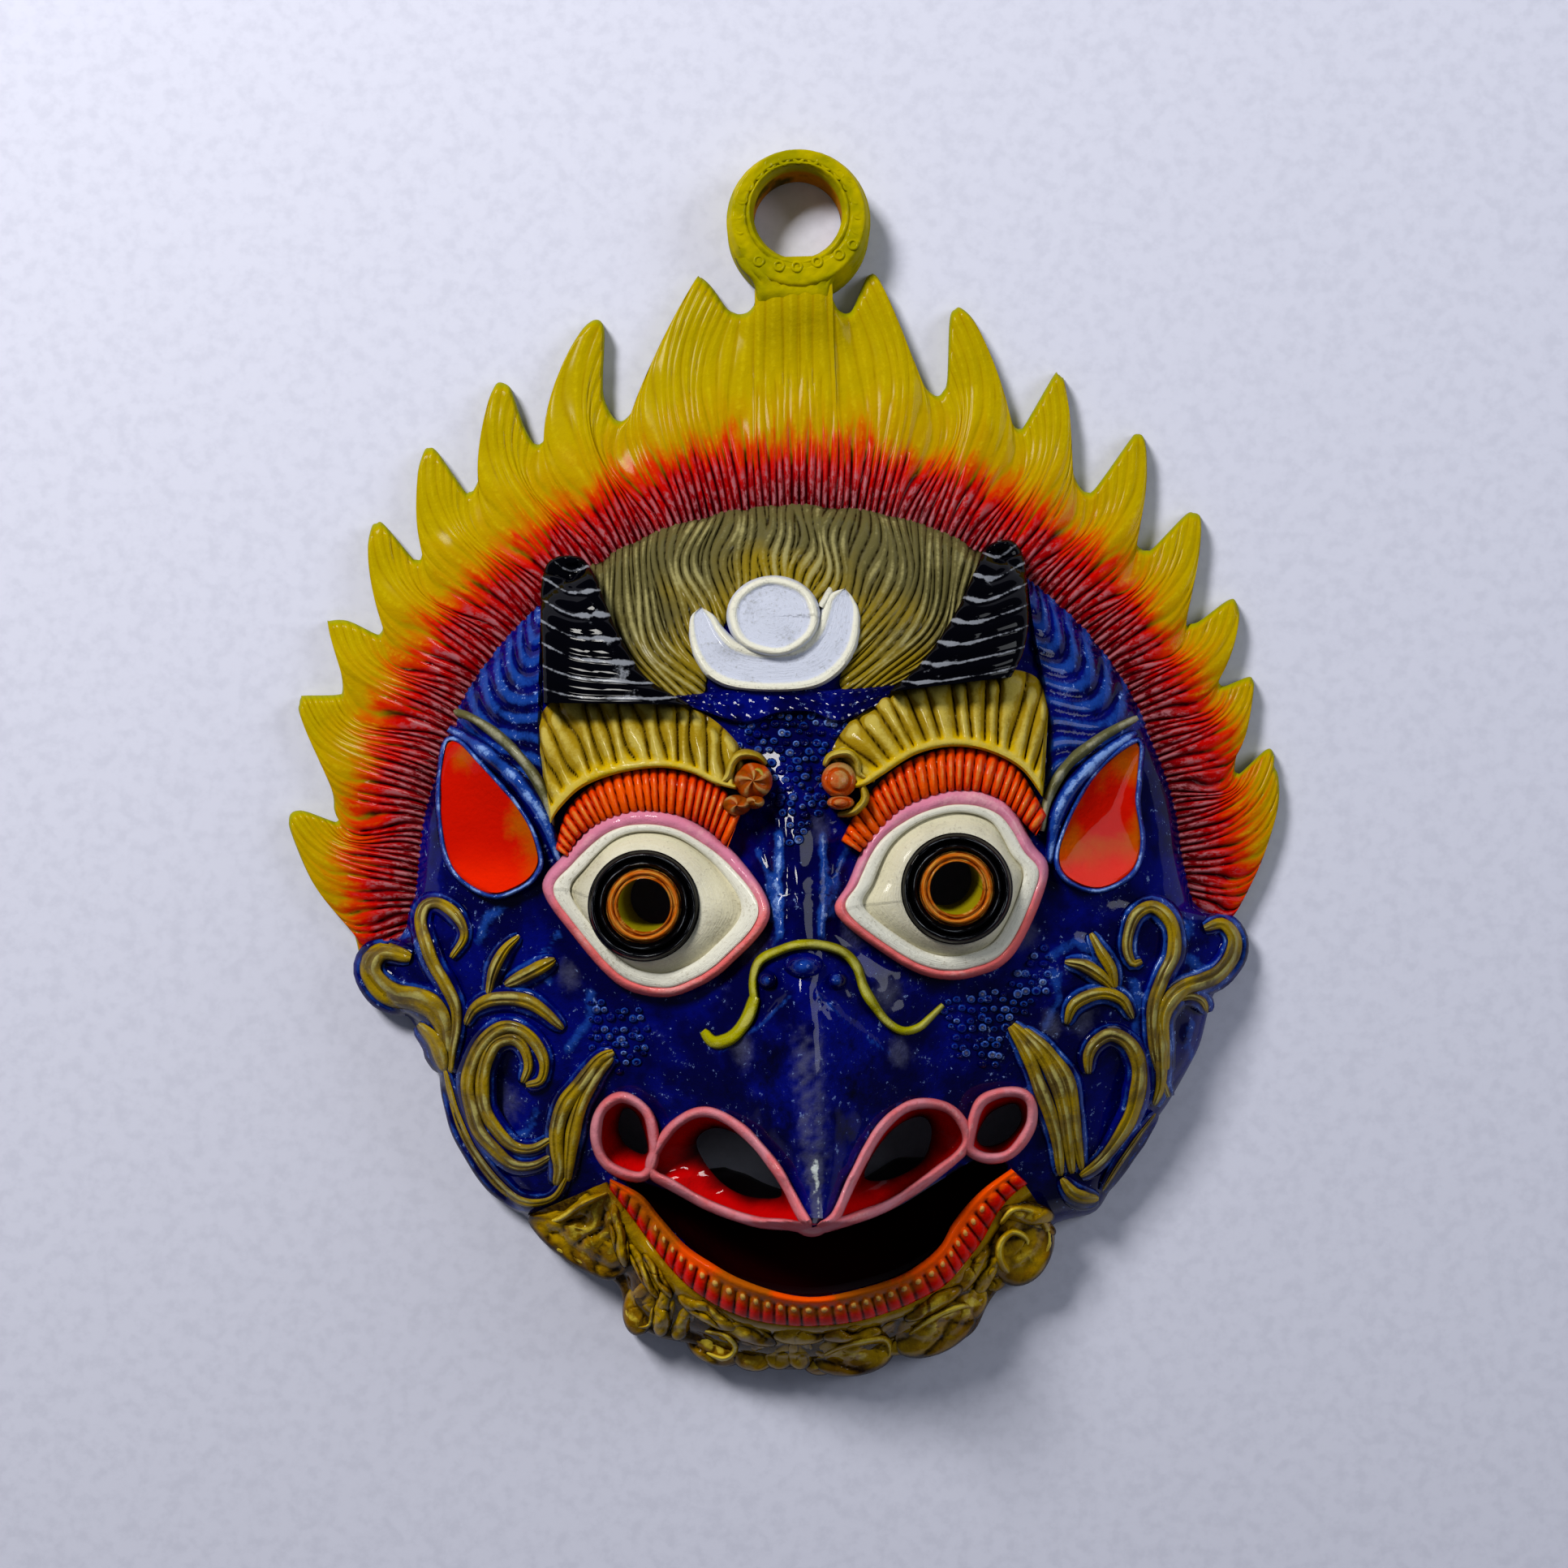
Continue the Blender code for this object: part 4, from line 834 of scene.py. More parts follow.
def foot_drop(y):
    """How much thinner the ring is towards its foot."""
    return 0.0012 * ramp(ring_middle[1] - y, -0.012, 0.016)


def ring_surface(s, t, top):
    """From the bore, t = 0, over its lip to the rounded outer edge."""
    turn = 2 * math.pi * s
    radius = RING_BORE_RADIUS + (RING_RADIUS - RING_BORE_RADIUS) * t
    x = ring_bore[0] + (ring_middle[0] - ring_bore[0]) * t + radius * np.cos(turn)
    y = ring_bore[1] + (ring_middle[1] - ring_bore[1]) * t + radius * np.sin(turn)
    drop = 0.0022 * (1 - ramp(t, -0.02, 0.16)) + 0.0005 * bump(t - 0.27, 0.08) + 0.0030 * ramp(t, 0.72, 1.0) ** 1.5
    dents = 0.00016 * waver(x * 5e3, y * 5e3, 5)
    z = np.where(top, RING_THICKNESS - drop - foot_drop(y) + dents, 0.0)
    return x, y, z, 1 - 0.6 * bump(t - 0.27, 0.09) - 0.4 * ramp(t, 0.85, 1.0), np.where(top, 0.0, 1.0) * (t < 0.5)


def shoulder_surface(s, t, top):
    """The ring's foot, drawn in towards the neck, its strands fading out before the crown's begin."""
    (ax, ay), (bx, by) = at(shoulder_left, s), at(shoulder_right, s)
    edge = half_round(np.clip(np.minimum(t, 1 - t) * 9, 0, 1) / 2)
    strand = ribs(SHOULDER_STRANDS * t + 0.15 * np.sin(5 * s + 9 * t))
    strand = 1 - (1 - strand) * plateau(s, 0.15, 0.3, 0.4, 0.62)
    height = SHOULDER_HEIGHT - 0.0008 * ramp(s, 0.3, 0.6) - 0.0032 * ramp(s, 0.6, 1)
    z = np.where(top, height - 0.0006 * (1 - strand) - 0.0028 * (1 - edge), 0.0)
    return (*place(ax + (bx - ax) * t, ay + (by - ay) * t, z), z, (0.3 + 0.7 * strand) * edge, 0.0)


def stamp_surface(stamp, strength):
    """A small ring punched into the front, its crest raised by `strength`."""
    x, y = place(*stamp, RING_THICKNESS)
    front = RING_THICKNESS - foot_drop(y)

    def surface(s, t, top):
        radius, turn = 0.0006 + 0.0010 * t, 2 * math.pi * s
        z = np.where(top, front - 0.0003 + 0.0006 * strength * half_round(t), front - 0.003)
        return x + radius * np.cos(turn), y + radius * np.sin(turn), z, 0.2 + 0.8 * half_round(t)

    return surface


shoulder_left, shoulder_right = smooth_line(SHOULDER_LEFT, count=30), smooth_line(SHOULDER_RIGHT, count=30)
ring = Casting("ridge", "inside")
ring.lay(columns=150, rows=26, surface=ring_surface, closed=True)
ring.lay(columns=16, rows=90, surface=shoulder_surface)
for stamps, strength in ((RING_STAMPS, 1.0), (SMALL_STAMPS, 0.45)):
    for stamp in stamps:
        ring.lay(columns=16, rows=5, surface=stamp_surface(stamp, strength), closed=True)
ring.fire("hanging_ring", yellow_enamel(), "flame_enamel")

# The hair: wavy strands combed up from the brow to the crown, in locks that end in round lobes.
# Olive gold paint over a dark wash, yellower round the moon and greyer at the ends.
HAIR_FOOT = ((792, 872), (860, 862), (872, 826), (884, 790), (902, 752), (926, 728), (953, 720), (984, 726),
             (1008, 748), (1030, 776), (1040, 812), (1040, 850), (1122, 846))
HAIR_TOP = ((722, 686), (777, 650), (838, 626), (920, 609), (990, 604), (1050, 611), (1110, 617), (1175, 638),
            (1214, 680))
HAIR_STRANDS = 46
HAIR_STRAND_COLUMNS = 7
HAIR_LOCKS = 9
HAIR_BASE, LOCK_RISE, STRAND_RISE = 0.0010, 0.0020, 0.0011


def hair_surface(s, t, top):
    """Each strand leaves the foot, bows outward and waves up to the crown."""
    (fx, fy), (tx, ty) = at(hair_foot, s), at(hair_top, s)
    lobe = ribs(HAIR_LOCKS * s + 0.2 * np.sin(14 * s), 0.8)
    ty = ty + 18 * lobe
    side = np.clip((s - 0.5) * 4, -1, 1)
    length = np.maximum(np.hypot(tx - fx, ty - fy), 1)
    wave = 0.17 * length * side * np.sin(math.pi * t)
    wave = wave + 9 * np.sin(2 * math.pi * (1.25 * t + 3.1 * s)) * t * (1.5 - t)
    x = fx + (tx - fx) * t - wave * (ty - fy) / length
    y = fy + (ty - fy) * t + wave * (tx - fx) / length
    weave = HAIR_STRANDS * s + 0.3 * np.sin(7 * t + 2.4 * np.floor(HAIR_STRANDS * s / 3))
    ridge = ribs(weave)
    lock = 0.4 + 0.6 * lobe
    ends = half_round(np.clip(0.5 + 5 * (t - 0.9), 0.5, 1)) * ramp(t, -0.05, 0.06)
    height = (HAIR_BASE + LOCK_RISE * lock * t + STRAND_RISE * ridge) * ends
    z = face_height(x, y) + np.where(top, height, -0.002)
    return (*place(x, y, z), z, ridge * (0.55 + 0.45 * lock) * ramp(1 - t, 0, 0.04))


hair_foot, hair_top = smooth_line(HAIR_FOOT, count=300), smooth_line(HAIR_TOP, count=300)
HAIR = enamel("olive gold hair paint", rgb(132, 112, 22), rgb(30, 24, 6), rgb(164, 156, 104), rgb(92, 86, 50),
              blend=lambda paint: paint.between(paint.mark("across") + 0.8 * (paint.noise(80.0) - 0.5), 0.15, 0.6),
              wear=0.7, gloss=0.36)
hair = Casting("ridge")
hair.lay(columns=HAIR_STRANDS * HAIR_STRAND_COLUMNS, rows=44, surface=hair_surface)
hair.fire("hair", HAIR, "gold_enamel")

# The sun disc resting in a crescent moon, cast on the hair. White enamel, dusty, lavender grey in
# the flats, thick and uneven on the raised rims.
SUN = (953, 759)
SUN_HALF = (58, 50)
SUN_HEIGHT = 0.0056
MOON_OUTER = ((864, 748), (851, 760), (849, 784), (856, 812), (876, 838), (915, 851), (990, 851), (1030, 834),
              (1055, 800), (1060, 760), (1052, 738), (1041, 725))
MOON_INNER = ((864, 748), (880, 758), (892, 774), (910, 790), (936, 798), (964, 798), (988, 790), (1004, 772),
              (1012, 750), (1018, 734), (1030, 728), (1041, 725))
MOON_HORN = ((1012, 748), (1020, 734), (1024, 722))
MOON_HEIGHT = 0.0036


def white_enamel(name, flat, rim, dirt, gloss=0.35):
    """White brushed on in streaks along the casting, whiter on the rims, dirt left in the grooves."""
    paint = Recipe(name)
    ridge = paint.mark("ridge")
    small = paint.noise(1200.0, 4.0, sharp=0.7)
    broad = paint.noise(110.0, 4.0)
    brushed = paint.noise(1.0, 3.0, paint.point(paint.mark("along") * 14.0, paint.mark("across") * 26.0), 0.6)
    shaded = (*[0.72 * part for part in flat[:3]], 1.0)
    flat = paint.over(flat, shaded, paint.between(broad + 0.4 * (small - 0.5), 0.46, 0.72) * 0.7)
    colour = paint.over(flat, rim, paint.between(ridge + 0.4 * (small - 0.5) + 0.3 * (brushed - 0.5), 0.3, 0.85))
    colour = paint.over(colour, dirt, paint.between(small + 0.3 * broad + 0.2 * brushed, 0.8, 0.95) * 0.4)
    colour = paint.over(dirt, colour, paint.between(ridge + 0.3 * small, 0.06, 0.26))
    relief = small * 0.7 + broad + 0.8 * brushed
    return paint.finish(colour, gloss + 0.2 * small, relief, depth=0.00028, coat=0.35, haze=0.1)


def sun_rise(s, t, x, y):
    rim = bump(t - 0.87 - 0.012 * np.sin(37 * s), 0.13) ** 0.7
    return SUN_HEIGHT + 0.0012 * rim + 0.0003 * bump(t, 0.5) - 0.0022 * ramp(t, 0.94, 1.0), 0.25 + 0.75 * rim


def moon_rise(s, t, x, y):
    rim = np.maximum(bump(t - 0.12, 0.13), bump(t - 0.88, 0.13)) ** 0.7
    width = np.sin(math.pi * np.clip(s, 0.02, 0.98)) ** 0.4
    edge = plateau(t, 0, 0.05, 0.95, 1)
    return (MOON_HEIGHT + 0.0010 * rim * width) * (0.5 + 0.5 * edge), 0.25 + 0.75 * rim


WHITE = white_enamel("moon white enamel", rgb(196, 201, 218), rgb(222, 220, 204), rgb(130, 130, 122))
signs = Casting("ridge")
signs.cushion(oval(SUN, *SUN_HALF), columns=90, rows=24, rise=sun_rise, sink=0.001)
signs.strip(MOON_OUTER, MOON_INNER, rows=16, rise=moon_rise, columns=110)
signs.ribbon(MOON_HORN, width=12, height=0.0046, taper=(0.9, 0.2))
signs.fire("sun_and_moon", WHITE, "white_enamel")

# Two horns over the brows, cast with bulging ring bands. Black enamel, glossy, rubbed grey on the
# band edges and down the inner flank.
HORN_LEFT = (((702, 684), (686, 686), (673, 697), (667, 722), (666, 760), (668, 800), (670, 866)),
             ((702, 684), (718, 688), (732, 708), (745, 740), (764, 784), (796, 834), (850, 868)))
HORN_RIGHT = (((1232, 664), (1214, 676), (1200, 706), (1182, 746), (1158, 786), (1130, 822), (1096, 852)),
              ((1232, 664), (1250, 668), (1262, 690), (1266, 730), (1267, 770), (1260, 806), (1246, 834)))
HORN_BANDS = 7.6
HORN_SEAM = 0.11
HORN_FLANK_HEIGHT = 0.0050
HORN_ROUND_HEIGHT = 0.0075


def horn_rise(outer_edge, inner_edge, rubbed_at):
    """A round horn in bulging bands, rubbed along the seams and down the flank at `rubbed_at`."""
    outer_line, inner_line = smooth_line(outer_edge, count=120), smooth_line(inner_edge, count=120)

    def rise(s, t, x, y):
        (ox, oy), (ix, iy) = at(outer_line, s), at(inner_line, s)
        level = np.clip(face_height((ox + ix) / 2, (oy + iy) / 2) - face_height(x, y), 0, 0.012)
        band = (HORN_BANDS * s ** 0.95 - 0.35 * np.sin(math.pi * t) + 0.05 * np.sin(9 * t + 3 * s)) % 1
        seam = np.exp(-(np.minimum(band, 1 - band) / HORN_SEAM) ** 2)
        belly = np.sin(math.pi * band) ** 0.7
        flank = bump(t - rubbed_at, 0.36) * ramp(s, 0.1, 0.3)
        cap = half_round(np.clip(0.12 + s / 0.10, 0, 1) / 2)
        swell = half_round(0.06 + 0.9 * t) ** 0.55 * cap * (0.82 + 0.18 * belly + 0.12 * seam)
        height = HORN_FLANK_HEIGHT + HORN_ROUND_HEIGHT * swell
        height = height + 0.6 * level + 0.0040 * ramp(-s, -0.4, 0) * (0.4 + 0.6 * cap)
        streaks = np.abs(np.sin(9 * t + 5 * s + 3 * np.sin(7 * s)))
        return height, 0.1 + 0.75 * seam + 0.55 * flank * streaks
    return rise


def black_enamel():
    """Glossy black, rubbed through to grey metal where it stands proud."""
    paint = Recipe("horn black enamel")
    ridge = paint.mark("ridge")
    small = paint.noise(700.0, 5.0, sharp=0.72)
    broad = paint.noise(150.0, 3.0)
    rubbed = paint.between(ridge + 1.0 * (small - 0.5) + 0.8 * (broad - 0.5), 0.62, 0.92)
    colour = paint.over(rgb(1, 1, 5), rgb(138, 142, 152), rubbed * 0.8)
    return paint.finish(colour, 0.14 + 0.35 * rubbed, small + 2.0 * broad, depth=0.00035, coat=0.5, haze=0.05)


horns = Casting("ridge")
for edges, rubbed_at in ((HORN_LEFT, 0.74), (HORN_RIGHT, 0.28)):
    horns.strip(*edges, rows=24, rise=horn_rise(*edges, rubbed_at), sink=0.004, columns=150)
horns.fire("horns", black_enamel(), "black_enamel")

# Blue trim laid on the bare face: wavy hair at the temples, the scaled band under the moon and the punched ringlets
# of the forehead and cheeks. Blue enamel, lighter on top as dry-brushed paint and as painted highlight.
TEMPLE_LEFT = (((664, 716), (640, 737), (614, 766), (590, 803), (570, 838), (552, 876)),
               ((670, 716), (668, 760), (668, 810), (668, 860), (670, 930), (684, 1010)))
TEMPLE_RIGHT = (((1268, 694), (1306, 730), (1342, 768), (1376, 812), (1402, 858), (1414, 892)),
                ((1264, 700), (1268, 750), (1274, 800), (1284, 850), (1292, 900), (1286, 985)))
BAND = (((826, 856), (880, 851), (915, 843), (960, 842), (1006, 848), (1060, 846), (1104, 842)),
        ((852, 872), (900, 890), (925, 894), (960, 882), (1000, 880), (1036, 892), (1090, 866)))
RINGLET_FIELDS = (
    ((905, 888), (960, 880), (1010, 880), (1062, 890), (1052, 930), (1010, 1000), (1000, 1040), (968, 1040),
     (960, 1000), (912, 930)),
    ((728, 1226), (800, 1248), (806, 1290), (770, 1330), (716, 1290)),
    ((1160, 1236), (1230, 1218), (1290, 1160), (1296, 1216), (1250, 1262), (1228, 1322), (1176, 1300)),
)
RINGLET_ROWS = range(860, 1340, 11)
RINGLET_COLUMNS = range(700, 1310, 13)
TEMPLE_STRANDS = 8.5
BAND_SCALES, BAND_ROWS = 14, 3


def temple_rise(s, t, x, y):
    ridge = ribs(TEMPLE_STRANDS * s + 0.9 * np.sin(2 * math.pi * (0.8 * t + 0.6 * s)))
    edge = plateau(t, 0, 0.08, 0.94, 1) * plateau(s, 0, 0.04, 0.95, 1)
    return (0.0014 + 0.0012 * ridge) * edge, 0.1 + 0.78 * ridge


def band_rise(s, t, x, y):
    row = np.floor(t * BAND_ROWS)
    scale = bump((BAND_SCALES * s + 0.5 * row) % 1 - 0.5, 0.5) * bump(t * BAND_ROWS - row - 0.5, 0.5)
    edge = plateau(t, 0, 0.1, 0.9, 1)
    return (0.0022 + 0.0005 * scale) * edge, 0.3 + 0.22 * ramp(1 - scale, 0.45, 0.95)


def ringlet_rise(glow):
    """A small punched ring, its crest lightened by `glow` as a painted highlight and the palest ones rubbed in the
    middle.
    """
    def rise(s, t, x, y):
        height = 0.0010 * np.sin(math.pi * (0.18 + 0.82 * t)) ** 0.8
        return height, 0.35 + glow * bump(t - 0.6, 0.45), 0.5 * (glow > 0.7) * bump(t, 0.6)
    return rise


def within(x, y, corners):
    """Whether the drawn point lies inside the polygon."""
    inside = False
    for (ax, ay), (bx, by) in zip(corners, corners[1:] + corners[:1]):
        if (ay > y) != (by > y) and x < ax + (bx - ax) * (y - ay) / (by - ay):
            inside = not inside
    return inside


trim = Casting("ridge", "wear_dust_and_gleam", "inside")
for edges in (TEMPLE_LEFT, TEMPLE_RIGHT):
    trim.strip(*edges, rows=28, rise=temple_rise, columns=100)
trim.strip(*BAND, rows=18, rise=band_rise, columns=140)
chance = np.random.default_rng(7)
for field in RINGLET_FIELDS:
    for row in RINGLET_ROWS:
        for column in RINGLET_COLUMNS:
            x = column + 6 * (row // RINGLET_ROWS.step % 2) + chance.uniform(-3.5, 3.5)
            y = row + chance.uniform(-3, 3)
            size, glow = chance.uniform(4.6, 7.6), chance.uniform(0.3, 0.85)
            if within(x, y, field):
                ringlet = oval((x, y), size, size * chance.uniform(0.7, 1))
                trim.cushion(ringlet, columns=9, rows=3, rise=ringlet_rise(glow), sink=0.001)
trim.fire("blue_trim", BLUE, "blue_enamel")

# The brows: gold mouldings over the eyes, carved with fat slanting leaves over a smooth lower rim, each with a
# lumpy knob and a curl at its inner end. Brown gold, lighter along the top as rubbed paint and as painted
# highlight.
BROW_LEFT = (((662, 896), (672, 872), (700, 852), (757, 848), (824, 860), (872, 882), (906, 912), (926, 946)),
             ((676, 1018), (690, 996), (718, 970), (762, 953), (812, 946), (850, 952), (881, 966), (912, 974)))
BROW_RIGHT = (((1292, 866), (1276, 834), (1236, 824), (1170, 830), (1116, 842), (1070, 868), (1040, 898),
               (1018, 936)),
              ((1286, 984), (1258, 948), (1216, 926), (1172, 920), (1128, 930), (1086, 956), (1066, 968),
               (1048, 972)))
BROW_RIBS = 13.5
BROW_RISE = 0.0084
BROW_RIM_FROM = 0.85
# Each knob has a middle, a half width, a half height and its number of lumps.
KNOBS = (((928, 962), 24, 23, 5), ((908, 992), 18, 13, 3), ((930, 988), 12, 9, 2), ((1034, 961), 22, 22, 1),
         ((1036, 989), 17, 9, 1))
KNOB_HEIGHT = 0.0062
BROW_CURLS = ((15, ((880, 968), (896, 958), (902, 940), (914, 930), (932, 932), (944, 942))),
              (11, ((916, 962), (922, 950), (936, 950), (940, 962), (930, 970))),
              (15, ((1078, 962), (1060, 954), (1056, 938), (1044, 928), (1024, 932), (1016, 944))),
              (13, ((1060, 964), (1066, 984), (1052, 1000), (1032, 1004))),
              (8, ((1022, 962), (1032, 972), (1046, 968))))


def brow_rise(slant):
    """Leaves side by side, of uneven height, that slant by slant(s), and under them the smooth rim."""
    def rise(s, t, x, y):
        number = BROW_RIBS * (s + 0.010 * np.sin(19 * s) + 0.007 * np.sin(47 * s)) - slant(s) * t ** 1.3
        rib = ribs(number, 0.55)
        rim = ramp(t, BROW_RIM_FROM, BROW_RIM_FROM + 0.05)
        tall = 0.06 + 0.05 * np.sin(2.7 * np.floor(number))
        top = ramp(t, tall - 0.05 * rib, tall + 0.12)
        roll = half_round(np.clip((t - BROW_RIM_FROM) / (1 - BROW_RIM_FROM), 0, 1))
        carved = rib * (1 - rim) + rim * (0.5 + 0.5 * roll)
        ends = plateau(s, 0, 0.03, 0.97, 1)
        height = BROW_RISE * (0.42 + 0.58 * t ** 0.6) * (0.6 + 0.4 * carved) * (0.25 + 0.75 * top * ends)
        return height, carved * (0.55 + 0.45 * top) + 0.35 * bump(t - tall - 0.1, 0.16) * rib
    return rise


def knob_rise(lumps):
    """A lumpy knob, or a plain one with a ring on it."""
    def rise(s, t, x, y):
        lump = 0.5 + 0.5 * np.sin(2 * math.pi * lumps * s + 2.5 * t + lumps)
        lump = lump * (lumps > 1) + 0.5 * bump(t - 0.62, 0.14) * (lumps == 1)
        return KNOB_HEIGHT + 0.0046 * (1 - t * t) ** 0.5 - 0.0016 * lump * t ** 0.5, 0.4 + 0.6 * (1 - lump)
    return rise


# Its crest colour is rubbed paint and a painted highlight.
GOLD = enamel("brow gold paint", rgb(152, 124, 18), rgb(64, 40, 4), rgb(192, 174, 84), rgb(200, 166, 0),
              blend=lambda paint: paint.between(paint.mark("across") + 0.4 * (paint.noise(300.0) - 0.5), 0.7, 0.9),
              wear=0.75, gloss=0.3)
KNOB_RED = enamel("brow knob paint", rgb(176, 62, 4), rgb(46, 10, 0), rgb(180, 150, 90), rgb(128, 66, 6),
                  wear=0.7, gloss=0.24, coat=0.6)
brows = Casting("ridge")
brows.strip(*BROW_LEFT, rows=30, rise=brow_rise(lambda s: 2.3 - 0.9 * s), columns=190)
brows.strip(*BROW_RIGHT, rows=30, rise=brow_rise(lambda s: 1.7 - 2.9 * s), columns=190)
for width, line in BROW_CURLS:
    brows.ribbon(line, width, height=0.0096, taper=(0.4, 0.4), step=3)
brows.fire("brows", GOLD, "gold_enamel")
knobs = Casting("ridge")
for centre, half_width, half_height, lumps in KNOBS:
    knobs.cushion(oval(centre, half_width, half_height), columns=48, rows=14, rise=knob_rise(lumps), sink=0.003)
knobs.fire("brow_knobs", KNOB_RED, "red_enamel")

# The lash bands: bright orange fillets between brow and lid, nicked across with short ribs.
LASH_LEFT = (((684, 1046), (700, 996), (741, 960), (787, 946), (841, 950), (884, 966), (914, 1000)),
             ((700, 1056), (716, 1030), (748, 1012), (789, 1002), (835, 1006), (868, 1020), (896, 1046)))
LASH_RIGHT = (((1036, 1036), (1058, 996), (1094, 954), (1138, 930), (1190, 920), (1246, 938), (1290, 1004)),
              ((1060, 1050), (1082, 1030), (1108, 1002), (1144, 984), (1190, 976), (1234, 988), (1276, 1030)))
LASH_RIBS = 25
LASH_HEIGHT = 0.0066


def lash_rise(s, t, x, y):
    rib = ribs(LASH_RIBS * (s + 0.006 * np.sin(23 * s)) + 0.4 * t)
    return LASH_HEIGHT * (0.62 + 0.38 * half_round(t)) - 0.0014 * (1 - rib), rib * (0.4 + 0.6 * half_round(t))


ORANGE = enamel("lash orange enamel", rgb(232, 84, 0), rgb(86, 8, 0), rgb(214, 150, 60), rgb(214, 44, 0),
                wear=0.5, gloss=0.22, coat=0.6)
lashes = Casting("ridge")
for edges in (LASH_LEFT, LASH_RIGHT):
    lashes.strip(*edges, rows=14, rise=lash_rise, columns=210, sink=0.003)
lashes.fire("lash_bands", ORANGE, "red_enamel")

# The eyes: a pink rolled lid, a white inner lid and a dished white, and a turned black iris with an
# orange ring round the bored pupil. Thick glossy enamel, lavender above and salmon below.
EYE_LEFT = ((668, 1094), (694, 1053), (740, 1008), (792, 995), (850, 1008), (911, 1057), (949, 1126),
            (900, 1189), (857, 1218), (813, 1229), (760, 1212), (705, 1152))
EYE_RIGHT = ((1030, 1126), (1045, 1087), (1075, 1024), (1125, 985), (1186, 970), (1240, 986), (1272, 1038),
             (1292, 1078), (1251, 1174), (1200, 1204), (1145, 1204), (1090, 1176))
IRIS_RADIUS = 69
PUPIL_SHIFTS = ((17, -11), (-15, -13))
EYE_COLUMNS = 144
LID_HEIGHT = 0.0054
WHITE_HEIGHT = 0.0046
DISH_HEIGHT = 0.0034
IRIS_HEIGHT = 0.0086


def pink_enamel():
    """Lavender pink above, turning salmon below the eye."""
    def downward(paint):
        height = paint.node("SeparateXYZ", {}, {0: paint.spot}, 1)
        return paint.between(height + 0.012 * (paint.noise(140.0) - 0.5), -0.024, -0.036)
    return enamel("lid pink enamel", rgb(206, 124, 152), rgb(96, 24, 40), rgb(232, 190, 188), rgb(226, 106, 106),
                  blend=downward, wear=0.45, gloss=0.2, coat=0.7, haze=0.05)


def facing(rim, centre, radius):
    """The points of a circle that face those of the rim."""
    middle = middle_of(rim)
    (u, v), (next_u, next_v) = rim[0] - middle, rim[1] - middle
    turn = math.atan2(v, u) - np.sign(next_u * v - next_v * u) * np.linspace(0, 2 * math.pi, len(rim))
    return np.column_stack((centre[0] + radius * np.cos(turn), centre[1] + radius * np.sin(turn)))


def lid_rise(s, t, x, y):
    height = LID_HEIGHT * half_round(0.02 + 0.9 * t) ** 0.8 + 0.0002 * waver(x, y, 10)
    return height, 0.3 + 0.55 * half_round(t)


def white_rise(s, t, x, y):
    height = WHITE_HEIGHT + 0.0012 * half_round(np.clip(t * 1.1, 0, 1)) ** 0.7 - 0.0018 * ramp(t, 0.82, 1)
    return height, 0.35 + 0.65 * half_round(t)


def dish_rise(s, t, x, y):
    return DISH_HEIGHT + 0.0050 * np.sin(math.pi * 0.5 * t) ** 1.2, 0.25 + 0.35 * t


def iris_surface(iris, shift):
    """From the pupil's edge, t = 0, over the orange ring and two black ridges.

    The bore of the pupil slants by `shift` towards the back.
    """
    def surface(s, t, top):
        radius, turn = PUPIL + (IRIS_RADIUS - PUPIL) * t, 2 * math.pi * s
        back = np.where(top, 0.0, 1.0)
        sunk = back * (1 - t) ** 2
        x, y = iris[0] + radius * np.cos(turn), iris[1] + radius * np.sin(turn)
        ridges = 0.6 * bump(t - 0.04, 0.10) + 0.9 * bump(t - 0.22, 0.15)
        ridges = ridges + bump(t - 0.54, 0.13) + bump(t - 0.82, 0.16)
        z = face_height(x, y) + np.where(top, IRIS_HEIGHT + 0.0020 * ridges ** 0.8 + 0.0010 * (1 - t), -0.0020)
        return (*place(x + shift[0] * sunk, y + shift[1] * sunk, z), z, np.clip(ridges, 0, 1), t, back)

    return surface


PINK = pink_enamel()
lids, whites, irises = Casting("ridge"), Casting("ridge"), Casting("ridge", "radius", "wall")
for eye, iris, shift in zip((EYE_LEFT, EYE_RIGHT), (IRIS_LEFT, IRIS_RIGHT), PUPIL_SHIFTS):
    rim = rim_line(eye, EYE_COLUMNS)
    droop = 0.09 * np.clip(iris[1] + 10 - rim[:, 1], 0, 110)  # the upper lid is broader than the lower one
    lid_edge = shrink(rim, 0.9) + np.column_stack((np.zeros_like(droop), droop))
    lids.strip(rim, shrink(lid_edge, 0.97), rows=14, rise=lid_rise, closed=True, sink=0.003)
    whites.strip(shrink(lid_edge, 1.01), shrink(rim, 0.73), rows=12, rise=white_rise, closed=True, sink=0.003)
    whites.strip(shrink(rim, 0.78), facing(rim, iris, IRIS_RADIUS - 5), rows=14, rise=dish_rise, closed=True,
                 sink=0.003)
    irises.lay(columns=96, rows=36, surface=iris_surface(iris, shift), closed=True)


